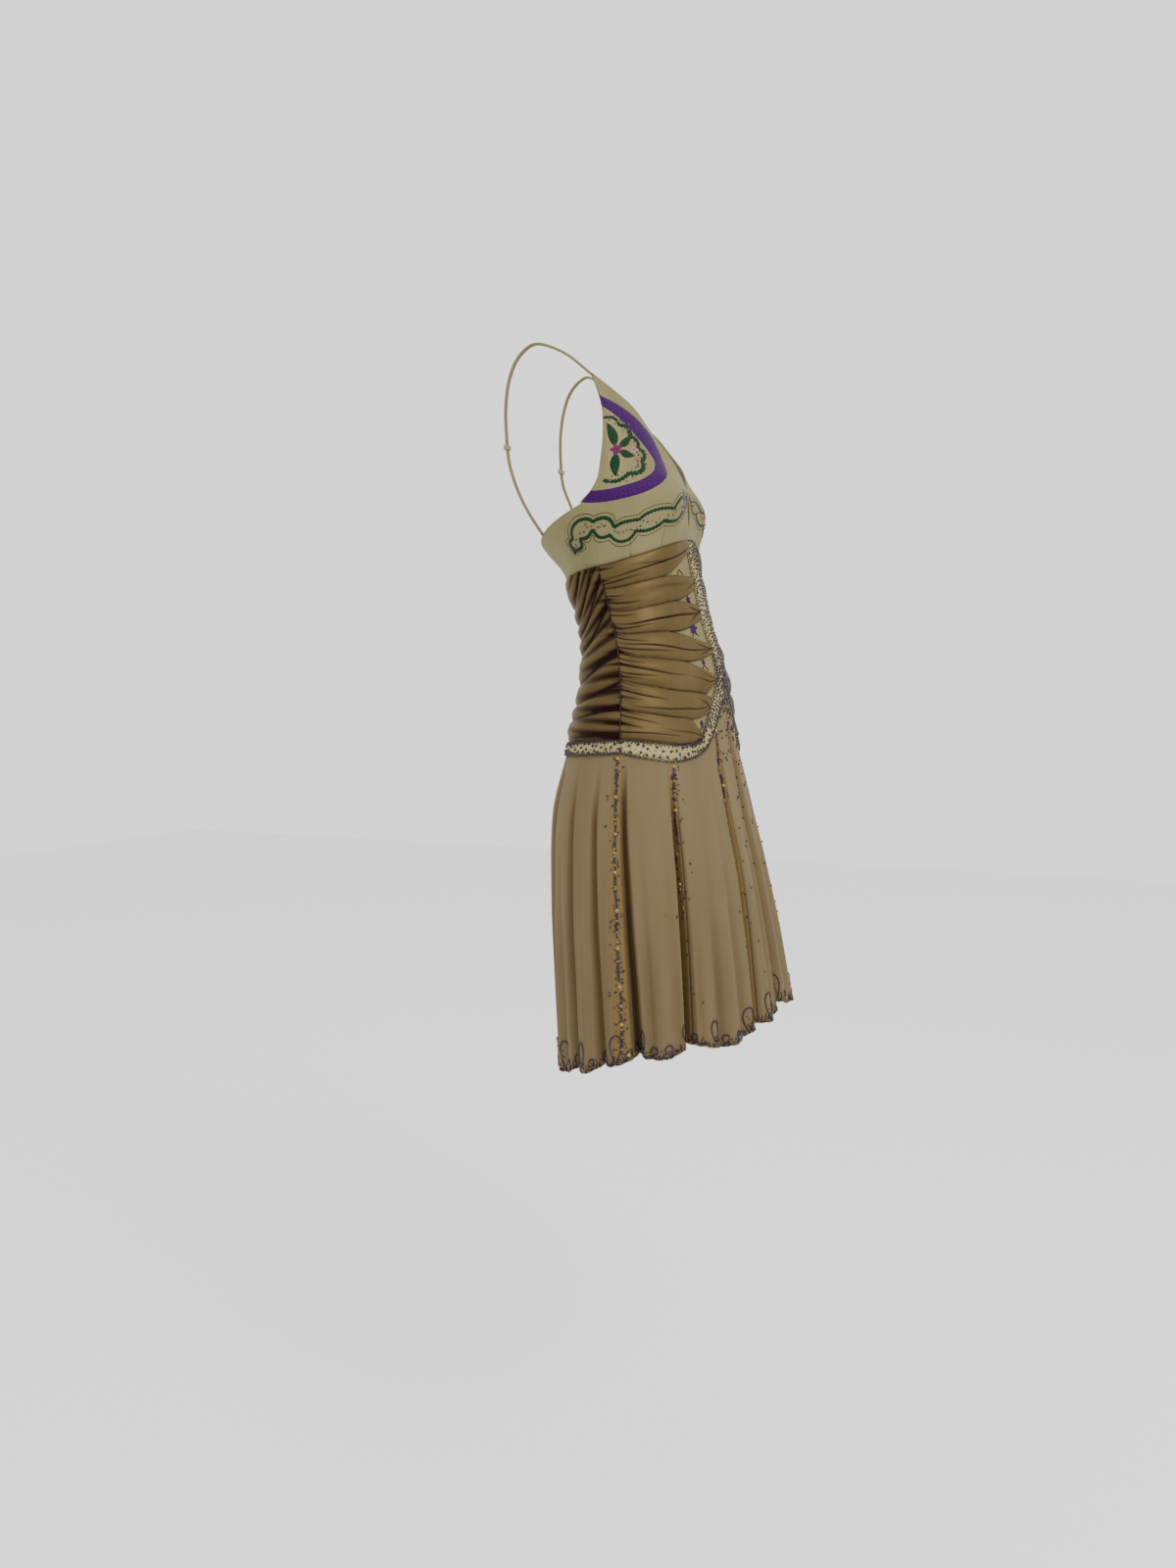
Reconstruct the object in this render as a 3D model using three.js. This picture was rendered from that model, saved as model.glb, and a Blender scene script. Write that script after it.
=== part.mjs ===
// A sleeveless cocktail dress in its worn, hollow shape: two cups on thin shoulder straps, a gathered
// sash whose folds run into a beaded band at the front, and a pleated skirt with inset strips.
// Millimetres, +Z up. The front faces -Y and the wearer's right is -X. The origin is midway between
// the tops of the two straps, where the shoulders carry the dress.
import * as THREE from 'three';

// Driving sizes
const CLOTH = 1.4;             // wall of a panel of the bodice, sash or band
const SKIRT_CLOTH = 1.2;       // the skirt is thinner
const UNDER_CLOTH = 1.2;       // wall of the plain panel that shows between the sash folds
const SEAM_GAP = 0.36;         // between pieces that are sewn together
const SASH_GAP = 0.6;          // between the gathered sash and the band
const SKIRT_GAP = 0.72;        // between skirt panels, whose seams twist into the pleats
const UNDER_OUT = 1.2;         // outer faces, measured out from the figure
const PANEL_OUT = 1.4;
const BAND_OUT = 3.3;
const SASH_OUT = 3.7;
const SLIT_HALF = 2.7;         // degrees, the small opening under the neckline
const MEETING = 0.12;          // degrees from the centre line where two pieces meet
const STRAP_WIDTH = 6.5;
const STRAP_THICK = 1.8;
const SLIDE_HEIGHT = 6;
const SLIDE_RIM = 2.2;
const BUST = { phi: 38, level: 238, reach: 26, wide: 40, high: 42, girth: 110 };

// Colours from the photograph
const GOLD_SATIN = new THREE.MeshStandardMaterial({ color: '#b8ab86', roughness: 0.45 });
const BRONZE_SATIN = new THREE.MeshStandardMaterial({ color: '#8f7241', roughness: 0.35 });
const BEADED_BAND = new THREE.MeshStandardMaterial({ color: '#cfc6a4', roughness: 0.5 });
const CHIFFON = new THREE.MeshStandardMaterial({ color: '#9c8a68', roughness: 0.75 });
const STRIP = new THREE.MeshStandardMaterial({ color: '#8d7550', roughness: 0.6 });

const table = (names, rows) =>
  rows.map((row) => Object.fromEntries(names.split(' ').map((name, i) => [name, row[i]])));

// Level is the height of a section's centre below the straps. A section leans with the figure (tilt),
// turns with it (turn), and has a half width, a front and back depth, and a soft ridge down the
// centre front.
const FIGURE = table('level y tilt turn half front back ridge', [
  [0, -2, 20, 12, 104, 22, 42, 0],
  [25, -10, 20, 12, 112, 46, 66, 0],
  [62, -28, 20, 12, 118, 68, 92, 0],
  [120, -55, 20, 10, 126, 90, 112, 0],
  [205, -80, 20, 7, 140, 94, 108, 0],
  [270, -100, 18, 5, 128, 76, 85, 5],
  [350, -122, 12, 2, 116, 72, 81, 7],
  [430, -134, 7, 0, 138, 84, 88, 6],
  [505, -136, 4, 0, 163, 95, 105, 4],
  [590, -138, 4, 0, 180, 113, 128, 1],
  [700, -146, 7, 0, 194, 131, 136, 0],
  [790, -156, 11, 0, 203, 138, 141, 0],
  [920, -171, 16, 0, 215, 145, 147, 0],
]);
const RIDGE_WIDE = 14;         // degrees

// Seams as angle round the figure (0 at the centre front, 180 at the centre back) against level
const UNDERBUST_SEAM = table('phi level', [
  [0, 269], [11, 272], [43, 281], [61, 285], [85, 286.5], [97, 284.5], [120, 280], [150, 276.5], [180, 275.5],
]);
const SIDE_SEAM = table('level phi', [
  [200, 97], [285, 97], [337, 96], [387, 90.8], [436, 86], [501, 83], [530, 82.5],
]);

// Band stations from the underbust down the centre front, round the corner and along the hip.
// The inner edge borders the sash and the outer edge borders the skirt.
const BAND = table('along innerPhi innerLevel outerPhi outerLevel', [
  [0, 11, 272.5, MEETING, 270],
  [1, 11.2, 310, MEETING, 309],
  [2, 10.6, 350, MEETING, 350],
  [3, 9, 395, MEETING, 395],
  [4, 8.2, 424, MEETING, 432],
  [5, 11, 445, 1.2, 453],
  [6, 19, 473, 8.6, 474],
  [7, 25, 495, 16, 497],
  [8, 29.5, 508, 25, 519],
  [9, 36, 512, 34.5, 529],
  [10, 46, 512, 47, 532.5],
  [11, 64, 507, 67, 525.5],
  [12, 82.8, 501.5, 82.5, 518],
]);
const HIP_TOP = 501.5;
const HIP_BOTTOM = 518;

// Bodice front, from the underbust seam up to the strap: its centre edge and its side edge
const CUP = table('up frontPhi frontLevel sidePhi sideLevel', [
  [0, MEETING, 269, 97, 284.5],
  [0.1, MEETING, 262, 97, 264],
  [0.25, SLIT_HALF, 238, 97, 237],
  [0.4, MEETING, 214, 97, 209.5],
  [0.52, 10, 191, 88, 199.5],
  [0.62, 22, 168, 81.5, 186.5],
  [0.72, 33, 142, 77.5, 165],
  [0.8, 40, 117, 73.8, 141],
  [0.88, 47, 91, 69.6, 114],
  [0.95, 53, 70, 64.5, 84],
  [1, 56.2, 60, 60, 62],
]);
const BACK_EDGE = table('phi level', [[97, 209.5], [111, 211], [140, 213], [180, 218]]);

// Sash folds: where each fold's upper edge leaves the side seam and where it parts from its
// neighbour (as shares of the sash's height), how far forward it parts, and where it ends.
const FOLDS = table('side parting forward tip', [
  [0, 0, 0, 0.022],
  [0.13, 0.115, 0.6, 0.158],
  [0.26, 0.215, 0.7, 0.257],
  [0.39, 0.335, 0.54, 0.382],
  [0.52, 0.48, 0.6, 0.555],
  [0.67, 0.65, 0.87, 0.717],
  [0.83, 0.795, 0.7, 0.932],
]);
const TIP_HALF = 0.021;        // half a fold's end, as a share of the sash's height
const FOLD_RISE = 3.9;
const FOLD_CREASE = 2;
const BACK_FOLDS = 7;
const BACK_RISE = 3.6;
const BACK_SWAG = 0.33;

// Skirt pleats by the angle of the valley at the top and at the hem. The last column moves the
// near lip over the valley.
const PLEATS = table('top hem half depth lean', [
  [0, 1, 5.5, 15, 0],
  [15.5, 22, 4.6, 20, -1.6],
  [50.5, 57, 4.6, 24, -2],
  [80, 80.5, 3.9, 27, -0.6],
  [97, 99, 4, 13, 0.8],
  [113, 116, 4.4, 12, 0.6],
  [133, 136, 5, 18, 0.8],
  [155, 158, 5, 15, 0.6],
  [180, 180, 5.5, 15, 0],
]);
// Seams of the skirt at the top and at the hem
const SKIRT_SEAMS = {
  centreFront: { top: -12.8, hem: -19.2 },
  frontInner: { top: 12.8, hem: 19.2 },
  frontOuter: { top: 18, hem: 24.6 },
  midInner: { top: 48.2, hem: 54.4 },
  midOuter: { top: 52.8, hem: 59.6 },
  sideInner: { top: 80.9, hem: 83.2 },
  sideOuter: { top: 87, hem: 91.5 },
  centreBack: { top: 180, hem: 180 },
};
// Each lobe of the hem hangs a little lower than the pleats beside it
const HEM_LOBES = table('from to level drop', [
  [0, 22, 876, 9],
  [22, 57, 884, 15],
  [57, 80.5, 876, 10],
  [80.5, 99, 874, 5],
  [99, 116, 878, 8],
  [116, 136, 880, 9],
  [136, 158, 882, 9],
  [158, 180, 884, 8],
]);

const STRAP_PATH = table('x y z', [
  [-85, 0, STRAP_THICK / 2],
  [-85.5, 14, -4],
  [-86, 28, -18],
  [-86.5, 38, -42],
  [-86, 43, -74],
  [-85, 43, -106],
  [-84.5, 39, -146],
  [-84.5, 24, -188],
]);
const SLIDE_SHARE = 0.64;      // of the strap's length from the front

const radians = THREE.MathUtils.degToRad;
const mix = (a, b, t) => a + (b - a) * t;
const clamp01 = (t) => Math.min(1, Math.max(0, t));
const smooth = (t) => clamp01(t) ** 2 * (3 - 2 * clamp01(t));

// A smooth curve through a table's rows that doesn't overshoot between them
function curve(rows, from, to) {
  const x = rows.map((row) => row[from]);
  const y = rows.map((row) => row[to]);
  const last = x.length - 1;
  const slopes = x.slice(1).map((_, i) => (y[i + 1] - y[i]) / (x[i + 1] - x[i]));
  const at = x.map((_, i) => {
    if (i === 0) return slopes[0];
    if (i === last) return slopes[last - 1];
    const [a, b] = [slopes[i - 1], slopes[i]];
    return a * b <= 0 ? 0 : (2 * a * b) / (a + b);
  });
  return (value) => {
    const v = Math.min(x[last], Math.max(x[0], value));
    let i = 0;
    while (i < last - 1 && v > x[i + 1]) i += 1;
    const h = x[i + 1] - x[i];
    const t = (v - x[i]) / h;
    const rise = t * t * (3 - 2 * t);
    return y[i] * (1 - rise) + y[i + 1] * rise
      + h * (at[i] * t * (1 - t) ** 2 - at[i + 1] * t * t * (1 - t));
  };
}

const figure = Object.fromEntries(
  ['y', 'tilt', 'turn', 'half', 'front', 'back', 'ridge'].map((name) => [name, curve(FIGURE, 'level', name)]),
);
const underbust = curve(UNDERBUST_SEAM, 'phi', 'level');
const sideSeam = curve(SIDE_SEAM, 'level', 'phi');
const backEdge = curve(BACK_EDGE, 'phi', 'level');
const band = Object.fromEntries(
  ['innerPhi', 'innerLevel', 'outerPhi', 'outerLevel'].map((name) => [name, curve(BAND, 'along', name)]),
);
const cup = Object.fromEntries(
  ['frontPhi', 'frontLevel', 'sidePhi', 'sideLevel'].map((name) => [name, curve(CUP, 'up', name)]),
);
const skirtTopRows = BAND.slice(5).map((row) => ({ phi: row.outerPhi, level: row.outerLevel }));
const skirtTop = curve([{ phi: 0, level: 452 }, ...skirtTopRows, { phi: 180, level: HIP_BOTTOM }], 'phi', 'level');

// A point on the bare figure: phi in degrees, positive to the wearer's right
function figurePoint(phi, level) {
  const angle = radians(phi);
  const depth = Math.cos(angle) > 0 ? figure.front(level) : figure.back(level);
  const away = ((Math.abs(phi) - BUST.phi) * radians(BUST.girth)) / BUST.wide;
  const bust = BUST.reach * Math.exp(-(away ** 2) - ((level - BUST.level) / BUST.high) ** 2);
  const ridge = figure.ridge(level) * Math.exp(-((phi / RIDGE_WIDE) ** 2));
  const forward = depth * Math.cos(angle) + bust + ridge;
  const side = -figure.half(level) * Math.sin(angle);
  const tilt = radians(figure.tilt(level));
  const turn = radians(figure.turn(level));
  return new THREE.Vector3(
    side * Math.cos(turn) + forward * Math.cos(tilt) * Math.sin(turn),
    figure.y(level) + side * Math.sin(turn) - forward * Math.cos(tilt) * Math.cos(turn),
    -level + forward * Math.sin(tilt),
  );
}

function figureNormal(phi, level) {
  const across = figurePoint(phi + 0.2, level).sub(figurePoint(phi - 0.2, level));
  const down = figurePoint(phi, level + 0.4).sub(figurePoint(phi, level - 0.4));
  return across.cross(down).normalize();
}

const onFigure = (phi, level, out) => figurePoint(phi, level).addScaledVector(figureNormal(phi, level), out);

// The outward normal of any cloth surface that maps (u, v) to a point
function surfaceNormal(surface, u, v, sign) {
  const step = 1e-3;
  const du = surface(u + step, v).sub(surface(u - step, v));
  const dv = surface(u, v + step).sub(surface(u, v - step));
  return du.cross(dv).normalize().multiplyScalar(sign);
}

function closedMesh(name, material, points, faces) {
  const geometry = new THREE.BufferGeometry();
  geometry.setAttribute('position', new THREE.Float32BufferAttribute(points.flatMap((p) => p.toArray()), 3));
  geometry.setIndex(faces.flat());
  geometry.computeVertexNormals();
  const mesh = new THREE.Mesh(geometry, material);
  mesh.name = name;
  return mesh;
}

// The two faces of a cloth wall of even thickness
const evenWall = (surface, thick, sign) => ({
  outer: surface,
  inner: (u, v) => surface(u, v).addScaledVector(surfaceNormal(surface, u, v, sign), -thick),
  sign,
});

// A cloth wall over a grid. Corners with the same key are one vertex, so two rows can be joined over
// part of their length and apart over the rest.
function wall(name, material, { outer, inner, sign, us, rows, keyOf = (i, j) => `${i},${j}` }) {
  const outside = [];
  const inside = [];
  const index = new Map();
  const vertex = (i, j) => {
    const key = keyOf(i, j);
    if (!index.has(key)) {
      index.set(key, outside.length);
      outside.push(outer(us[i], rows[j]));
      inside.push(inner(us[i], rows[j]));
    }
    return index.get(key);
  };
  const cells = [];
  for (let i = 0; i < us.length - 1; i += 1) {
    for (let j = 0; j < rows.length - 1; j += 1) {
      const corners = [vertex(i, j), vertex(i + 1, j), vertex(i + 1, j + 1), vertex(i, j + 1)];
      if (!rows[j].last) cells.push(sign > 0 ? corners : corners.reverse());
    }
  }
  const n = outside.length;
  const edges = new Set(cells.flatMap((cell) => cell.map((from, k) => `${from},${cell[(k + 1) % 4]}`)));
  const faces = cells.flatMap(([a, b, c, d]) => [
    [a, b, c], [a, c, d], [c + n, b + n, a + n], [d + n, c + n, a + n],
  ]);
  for (const cell of cells) {
    cell.forEach((from, k) => {
      const to = cell[(k + 1) % 4];
      if (!edges.has(`${to},${from}`)) faces.push([from, from + n, to + n], [from, to + n, to]);
    });
  }
  return closedMesh(name, material, [...outside, ...inside], faces);
}

const spaced = (count, from = 0, to = 1) => Array.from({ length: count + 1 }, (_, i) => mix(from, to, i / count));

// Every panel is drawn for the wearer's right and mirrored in angle for the left
const SIDES = [{ side: 'right', hand: 1 }, { side: 'left', hand: -1 }];

function cupSurface(hand) {
  return (u, v) => {
    const phi = mix(cup.frontPhi(v), cup.sidePhi(v) - SEAM_GAP / 4, u);
    const sag = underbust(phi) - mix(cup.frontLevel(0), cup.sideLevel(0), u);
    const level = mix(cup.frontLevel(v), cup.sideLevel(v), u) + sag * (1 - smooth(v / 0.3));
    return onFigure(hand * phi, level, PANEL_OUT);
  };
}

function bodiceFront({ side, hand }) {
  const rows = [0, 0.05, 0.1, 0.175, 0.25, 0.325, 0.4, 0.46, 0.52, 0.62, 0.72, 0.8, 0.88, 0.95, 1];
  return wall(`bodice_front_${side}`, GOLD_SATIN, {
    us: spaced(11), rows, ...evenWall(cupSurface(hand), CLOTH, -hand),
  });
}

function bodiceBack({ side, hand }) {
  const surface = (u, v) => {
    const phi = mix(97 + SEAM_GAP / 4, 180 - MEETING, u);
    return onFigure(hand * phi, mix(underbust(phi), backEdge(phi), v), PANEL_OUT);
  };
  return wall(`bodice_back_${side}`, GOLD_SATIN, {
    us: spaced(9), rows: spaced(4), ...evenWall(surface, CLOTH, -hand),
  });
}

function underPanel() {
  const reach = 46;
  const surface = (u, v) => {
    const phi = mix(-reach, reach, u);
    const top = underbust(Math.abs(phi)) + SEAM_GAP;
    return onFigure(phi, mix(skirtTop(Math.abs(phi)) - 5, top, v), UNDER_OUT);
  };
  return wall('under_panel_front', GOLD_SATIN, {
    us: spaced(12), rows: spaced(12), ...evenWall(surface, UNDER_CLOTH, -1),
  });
}

// Sash: the four edges of a front panel, blended into one patch of (phi, level)
const sashTop = (phi) => underbust(phi) + SEAM_GAP;
function sashEnd(u, v) {
  if (u === 0) {
    const level = mix(sashTop(97), HIP_TOP - SASH_GAP, v);
    return { phi: sideSeam(level) - SEAM_GAP / 4, level };
  }
  const along = mix(0, 8.3, v);
  return { phi: band.innerPhi(along) + 0.32, level: band.innerLevel(along) };
}
function sashPatch(u, v) {
  const [side, front] = [sashEnd(0, v), sashEnd(1, v)];
  const topPhi = mix(97 - SEAM_GAP / 4, band.innerPhi(0) + 0.32, u);
  const top = { phi: topPhi, level: sashTop(topPhi) };
  const alongHip = mix(12, 8.3, u);
  const bottom = { phi: band.innerPhi(alongHip), level: band.innerLevel(alongHip) - SASH_GAP };
  const corner = (name) => mix(
    mix(sashEnd(0, 0)[name], sashEnd(1, 0)[name], u),
    mix(sashEnd(0, 1)[name], sashEnd(1, 1)[name], u),
    v,
  );
  const blend = (name) => mix(side[name], front[name], u) + mix(top[name], bottom[name], v) - corner(name);
  return { phi: blend('phi'), level: blend('level') };
}

// The upper and lower edge of one fold at a share u of the way from the side seam to the band
function foldEdges(k, u) {
  const edge = (row, tip) => {
    if (!row) return mix(1, tip, smooth((u - 0.7) / 0.3));
    const together = mix(row.side, row.parting, smooth(u / Math.max(row.forward, 0.01)));
    if (u <= row.forward) return together;
    return mix(row.parting, tip, ((u - row.forward) / (1 - row.forward)) ** 1.4);
  };
  const tip = FOLDS[k].tip;
  const upper = k === 0 ? mix(0, tip - TIP_HALF, smooth((u - 0.7) / 0.3)) : edge(FOLDS[k], tip - TIP_HALF);
  return [upper, edge(FOLDS[k + 1], tip + TIP_HALF)];
}

function foldPoint(hand, u, { k, q }, inset) {
  const [upper, lower] = foldEdges(k, u);
  const { phi, level } = sashPatch(u, mix(upper, lower, (q + 1) / 2));
  const gathered = 1 - 0.45 * smooth(1 - u / 0.12) - 0.55 * smooth((u - 0.88) / 0.12);
  const round = Math.max(0, 1 - q * q) ** 0.6;
  const crease = Math.exp(-((q / 0.16) ** 2));
  const out = SASH_OUT + gathered * (FOLD_RISE * round - FOLD_CREASE * crease);
  return onFigure(hand * phi, level, out - inset);
}

function sashFront({ side, hand }) {
  const us = [0, 0.06, 0.17, 0.3, 0.42, 0.54, 0.6, 0.7, 0.78, 0.87, 0.94, 1];
  const across = [-1, -0.55, -0.18, 0, 0.18, 0.55, 1];
  const rows = FOLDS.flatMap((_, k) => across.map((q) => ({ k, q, last: q === 1 })));
  const keyOf = (i, j) => {
    const { k, last } = rows[j];
    const joined = last && FOLDS[k + 1] && us[i] <= FOLDS[k + 1].forward + 1e-9;
    return `${i},${joined ? j + 1 : j}`;
  };
  return wall(`sash_front_${side}`, BRONZE_SATIN, {
    us, rows, keyOf, sign: -hand,
    outer: (u, row) => foldPoint(hand, u, row, 0),
    inner: (u, row) => foldPoint(hand, u, row, CLOTH),
  });
}

function sashBack({ side, hand }) {
  const surface = (u, v, inset) => {
    const top = sashTop(mix(97 + SEAM_GAP / 4, 180 - MEETING, u));
    const level = mix(top, HIP_TOP - SASH_GAP, v);
    const phi = mix(sideSeam(level) + SEAM_GAP / 4, 180 - MEETING, u);
    const swag = BACK_SWAG * Math.sin((Math.PI / 2) * Math.min(1, u / 0.6));
    const place = (v - swag) / (1 - swag);
    const ridge = Math.abs(Math.cos(Math.PI * BACK_FOLDS * (place + 0.03 * Math.sin(9 * place)))) ** 0.7;
    const gathered = 1 - 0.4 * smooth(1 - u / 0.1) - 0.4 * smooth((u - 0.9) / 0.1);
    return onFigure(hand * phi, level, SASH_OUT + gathered * BACK_RISE * ridge - inset);
  };
  return wall(`sash_back_${side}`, BRONZE_SATIN, {
    us: [0, 0.06, 0.18, 0.34, 0.5, 0.66, 0.84, 1], rows: spaced(30), sign: hand,
    outer: (u, v) => surface(u, v, 0),
    inner: (u, v) => surface(u, v, CLOTH),
  });
}

function bandFront({ side, hand }) {
  const surface = (u, v) => {
    const along = 12 * u;
    const phi = mix(band.outerPhi(along), band.innerPhi(along), v) - (u > 0.95 ? SEAM_GAP / 4 : 0);
    return onFigure(hand * phi, mix(band.outerLevel(along), band.innerLevel(along), v), BAND_OUT);
  };
  return wall(`band_front_${side}`, BEADED_BAND, {
    us: spaced(30), rows: spaced(2), ...evenWall(surface, CLOTH, -hand),
  });
}

function bandBack({ side, hand }) {
  const surface = (u, v) => {
    const level = mix(HIP_BOTTOM, HIP_TOP, v);
    return onFigure(hand * mix(sideSeam(level) + SEAM_GAP / 4, 180 - MEETING, u), level, BAND_OUT);
  };
  return wall(`band_back_${side}`, BEADED_BAND, {
    us: spaced(14), rows: spaced(2), ...evenWall(surface, CLOTH, -hand),
  });
}

// Skirt: the figure's skirt shape with pleats that open towards the hem
const ALL_PLEATS = [...PLEATS, ...PLEATS.slice(1, -1).map((row) => (
  { ...row, top: -row.top, hem: -row.hem, lean: -row.lean }
)), { ...PLEATS.at(-1), top: -180, hem: -180 }];

function hemLevel(phi) {
  const angle = Math.min(180, Math.abs(phi));
  const i = HEM_LOBES.findIndex((lobe) => angle <= lobe.to + 1e-9);
  const lobe = HEM_LOBES[i];
  const next = HEM_LOBES[Math.min(i + 1, HEM_LOBES.length - 1)];
  const t = (angle - lobe.from) / (lobe.to - lobe.from);
  return mix(lobe.level, next.level, smooth(t)) + lobe.drop * Math.sin(Math.PI * t);
}

function skirtPoint(topPhi, hemPhi, down) {
  const phi = mix(topPhi, hemPhi, down);
  const level = mix(skirtTop(Math.abs(topPhi)) + SEAM_GAP, hemLevel(hemPhi), down);
  const open = smooth(down / 0.25) * 0.35 + down * 0.65;
  let out = PANEL_OUT + 3 * open;
  let lean = 0;
  for (const pleat of ALL_PLEATS) {
    const half = pleat.half * mix(0.62, 1, down);
    const t = (phi - mix(pleat.top, pleat.hem, down)) / half;
    if (Math.abs(t) < 1) out -= pleat.depth * open * Math.cos((Math.PI / 2) * t) ** 1.5;
    const lip = t - Math.sign(pleat.lean || 1) * -1.15;
    lean += pleat.lean * open * Math.exp(-(lip ** 2) * 1.6);
  }
  return onFigure(phi + lean, level, out);
}

// Columns are closer together across a pleat than between two pleats
function skirtColumns(from, to) {
  const marks = [from.hem, to.hem];
  for (const { hem, half } of ALL_PLEATS) {
    for (const t of [-1.6, -1, -0.66, -0.33, 0, 0.33, 0.66, 1, 1.6]) marks.push(hem + half * t);
  }
  const inside = marks.filter((phi) => phi >= from.hem && phi <= to.hem).sort((a, b) => a - b);
  const least = 1.7;
  const kept = [inside[0]];
  for (const phi of inside.slice(1)) {
    const gap = phi - kept.at(-1);
    const steps = Math.ceil(gap / 9);
    if (gap < least && phi < to.hem) continue;
    if (gap < least && kept.length > 1) kept.pop();
    for (let i = 1; i <= steps; i += 1) kept.push(mix(kept.at(-1), phi, 1 / (steps - i + 1)));
  }
  return kept.map((phi) => (phi - from.hem) / (to.hem - from.hem));
}

const flipped = ({ top, hem }) => ({ top: -top, hem: -hem });

// Half a seam gap as an angle, at one height of a seam
function seamAngle({ top, hem }, down) {
  const step = 0.02;
  const across = skirtPoint(top + step, hem + step, down).distanceTo(skirtPoint(top - step, hem - step, down));
  return (SKIRT_GAP * step) / across;
}

function skirtPiece(name, material, from, to) {
  const surface = (u, v) => {
    const down = 1 - v;
    const [a, b] = [seamAngle(from, down), -seamAngle(to, down)];
    return skirtPoint(mix(from.top + a, to.top + b, u), mix(from.hem + a, to.hem + b, u), down);
  };
  const rows = [0, 0.07, 0.17, 0.3, 0.45, 0.6, 0.75, 0.88, 1];
  return wall(name, material, { us: skirtColumns(from, to), rows, ...evenWall(surface, SKIRT_CLOTH, -1) });
}

function skirt() {
  const seams = SKIRT_SEAMS;
  const right = [
    ['skirt_insert_front', STRIP, seams.frontInner, seams.frontOuter],
    ['skirt_front', CHIFFON, seams.frontOuter, seams.midInner],
    ['skirt_insert_mid', STRIP, seams.midInner, seams.midOuter],
    ['skirt_side', CHIFFON, seams.midOuter, seams.sideInner],
    ['skirt_insert_side', STRIP, seams.sideInner, seams.sideOuter],
    ['skirt_back', CHIFFON, seams.sideOuter, seams.centreBack],
  ];
  const centre = skirtPiece('skirt_front_centre', CHIFFON, seams.centreFront, seams.frontInner);
  return [centre, ...right.flatMap(([name, material, from, to]) => [
    skirtPiece(`${name}_right`, material, from, to),
    skirtPiece(`${name}_left`, material, flipped(to), flipped(from)),
  ])];
}

// A strap as a flat ribbon with rounded edges that follows a smooth path
function strapPath(hand) {
  const cupTop = cupSurface(hand)(0.5, 1);
  const backPhi = hand * 142;
  const backTop = onFigure(backPhi, backEdge(142) - 1, PANEL_OUT - CLOTH / 2);
  const mirror = (p) => new THREE.Vector3(hand * p.x, p.y, p.z);
  const middle = STRAP_PATH.map(mirror);
  const frontEnd = cupTop.clone().add(new THREE.Vector3(0, 0.5, 0.9));
  const frontRise = new THREE.Vector3().lerpVectors(frontEnd, middle[0], 0.55).add(new THREE.Vector3(0, -2, 7));
  return new THREE.CatmullRomCurve3([frontEnd, frontRise, ...middle, backTop.clone().add(
    new THREE.Vector3(0, 9, 32),
  ), backTop], false, 'centripetal');
}

function strapFrame(path, t) {
  const along = path.getTangentAt(t);
  const across = new THREE.Vector3(1, 0, 0).addScaledVector(along, -along.x).normalize();
  return { centre: path.getPointAt(t), across, out: new THREE.Vector3().crossVectors(across, along) };
}

const ribbonSection = (width, thick) => [
  [-1, -0.4], [-0.8, -1], [0.8, -1], [1, -0.4], [1, 0.4], [0.8, 1], [-0.8, 1], [-1, 0.4],
].map(([a, b]) => [(a * width) / 2, (b * thick) / 2]);

function strap({ side, hand }) {
  const path = strapPath(hand);
  const steps = 26;
  const section = ribbonSection(STRAP_WIDTH, STRAP_THICK);
  const points = [];
  for (let i = 0; i <= steps; i += 1) {
    const { centre, across, out } = strapFrame(path, i / steps);
    for (const [a, b] of section) {
      points.push(centre.clone().addScaledVector(across, a).addScaledVector(out, b));
    }
  }
  const n = section.length;
  const faces = [];
  for (let i = 0; i < steps; i += 1) {
    for (let k = 0; k < n; k += 1) {
      const [a, b] = [i * n + k, i * n + ((k + 1) % n)];
      faces.push([a, b + n, b], [a, a + n, b + n]);
    }
  }
  for (let k = 1; k < n - 1; k += 1) {
    faces.push([0, k, k + 1], [steps * n, steps * n + k + 1, steps * n + k]);
  }
  return closedMesh(`strap_${side}`, GOLD_SATIN, points, faces);
}

// A small slide: a flat ring round the strap, high on the shoulder blade
function strapSlide({ side, hand }) {
  const path = strapPath(hand);
  const { centre, across, out } = strapFrame(path, SLIDE_SHARE);
  const clear = 0.35;
  const rectangle = (shape, x, y) => shape.moveTo(-x, -y).lineTo(x, -y).lineTo(x, y).lineTo(-x, y).closePath();
  const holeX = STRAP_WIDTH / 2 + clear;
  const holeY = STRAP_THICK / 2 + clear;
  const ring = new THREE.Shape();
  rectangle(ring, holeX + SLIDE_RIM, holeY + SLIDE_RIM * 0.6);
  const hole = new THREE.Path();
  rectangle(hole, holeX, holeY);
  ring.holes.push(hole);
  const geometry = new THREE.ExtrudeGeometry(ring, { depth: SLIDE_HEIGHT, bevelEnabled: false });
  geometry.translate(0, 0, -SLIDE_HEIGHT / 2);
  const mesh = new THREE.Mesh(geometry, GOLD_SATIN);
  mesh.name = `strap_slide_${side}`;
  const along = new THREE.Vector3().crossVectors(across, out);
  mesh.quaternion.setFromRotationMatrix(new THREE.Matrix4().makeBasis(across, out, along));
  mesh.position.copy(centre);
  return mesh;
}

const dress = new THREE.Group();
dress.add(underPanel(), ...skirt());
for (const side of SIDES) {
  dress.add(
    bodiceFront(side), bodiceBack(side), sashFront(side), sashBack(side), bandFront(side), bandBack(side),
    strap(side), strapSlide(side),
  );
}

export default dress;
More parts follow.
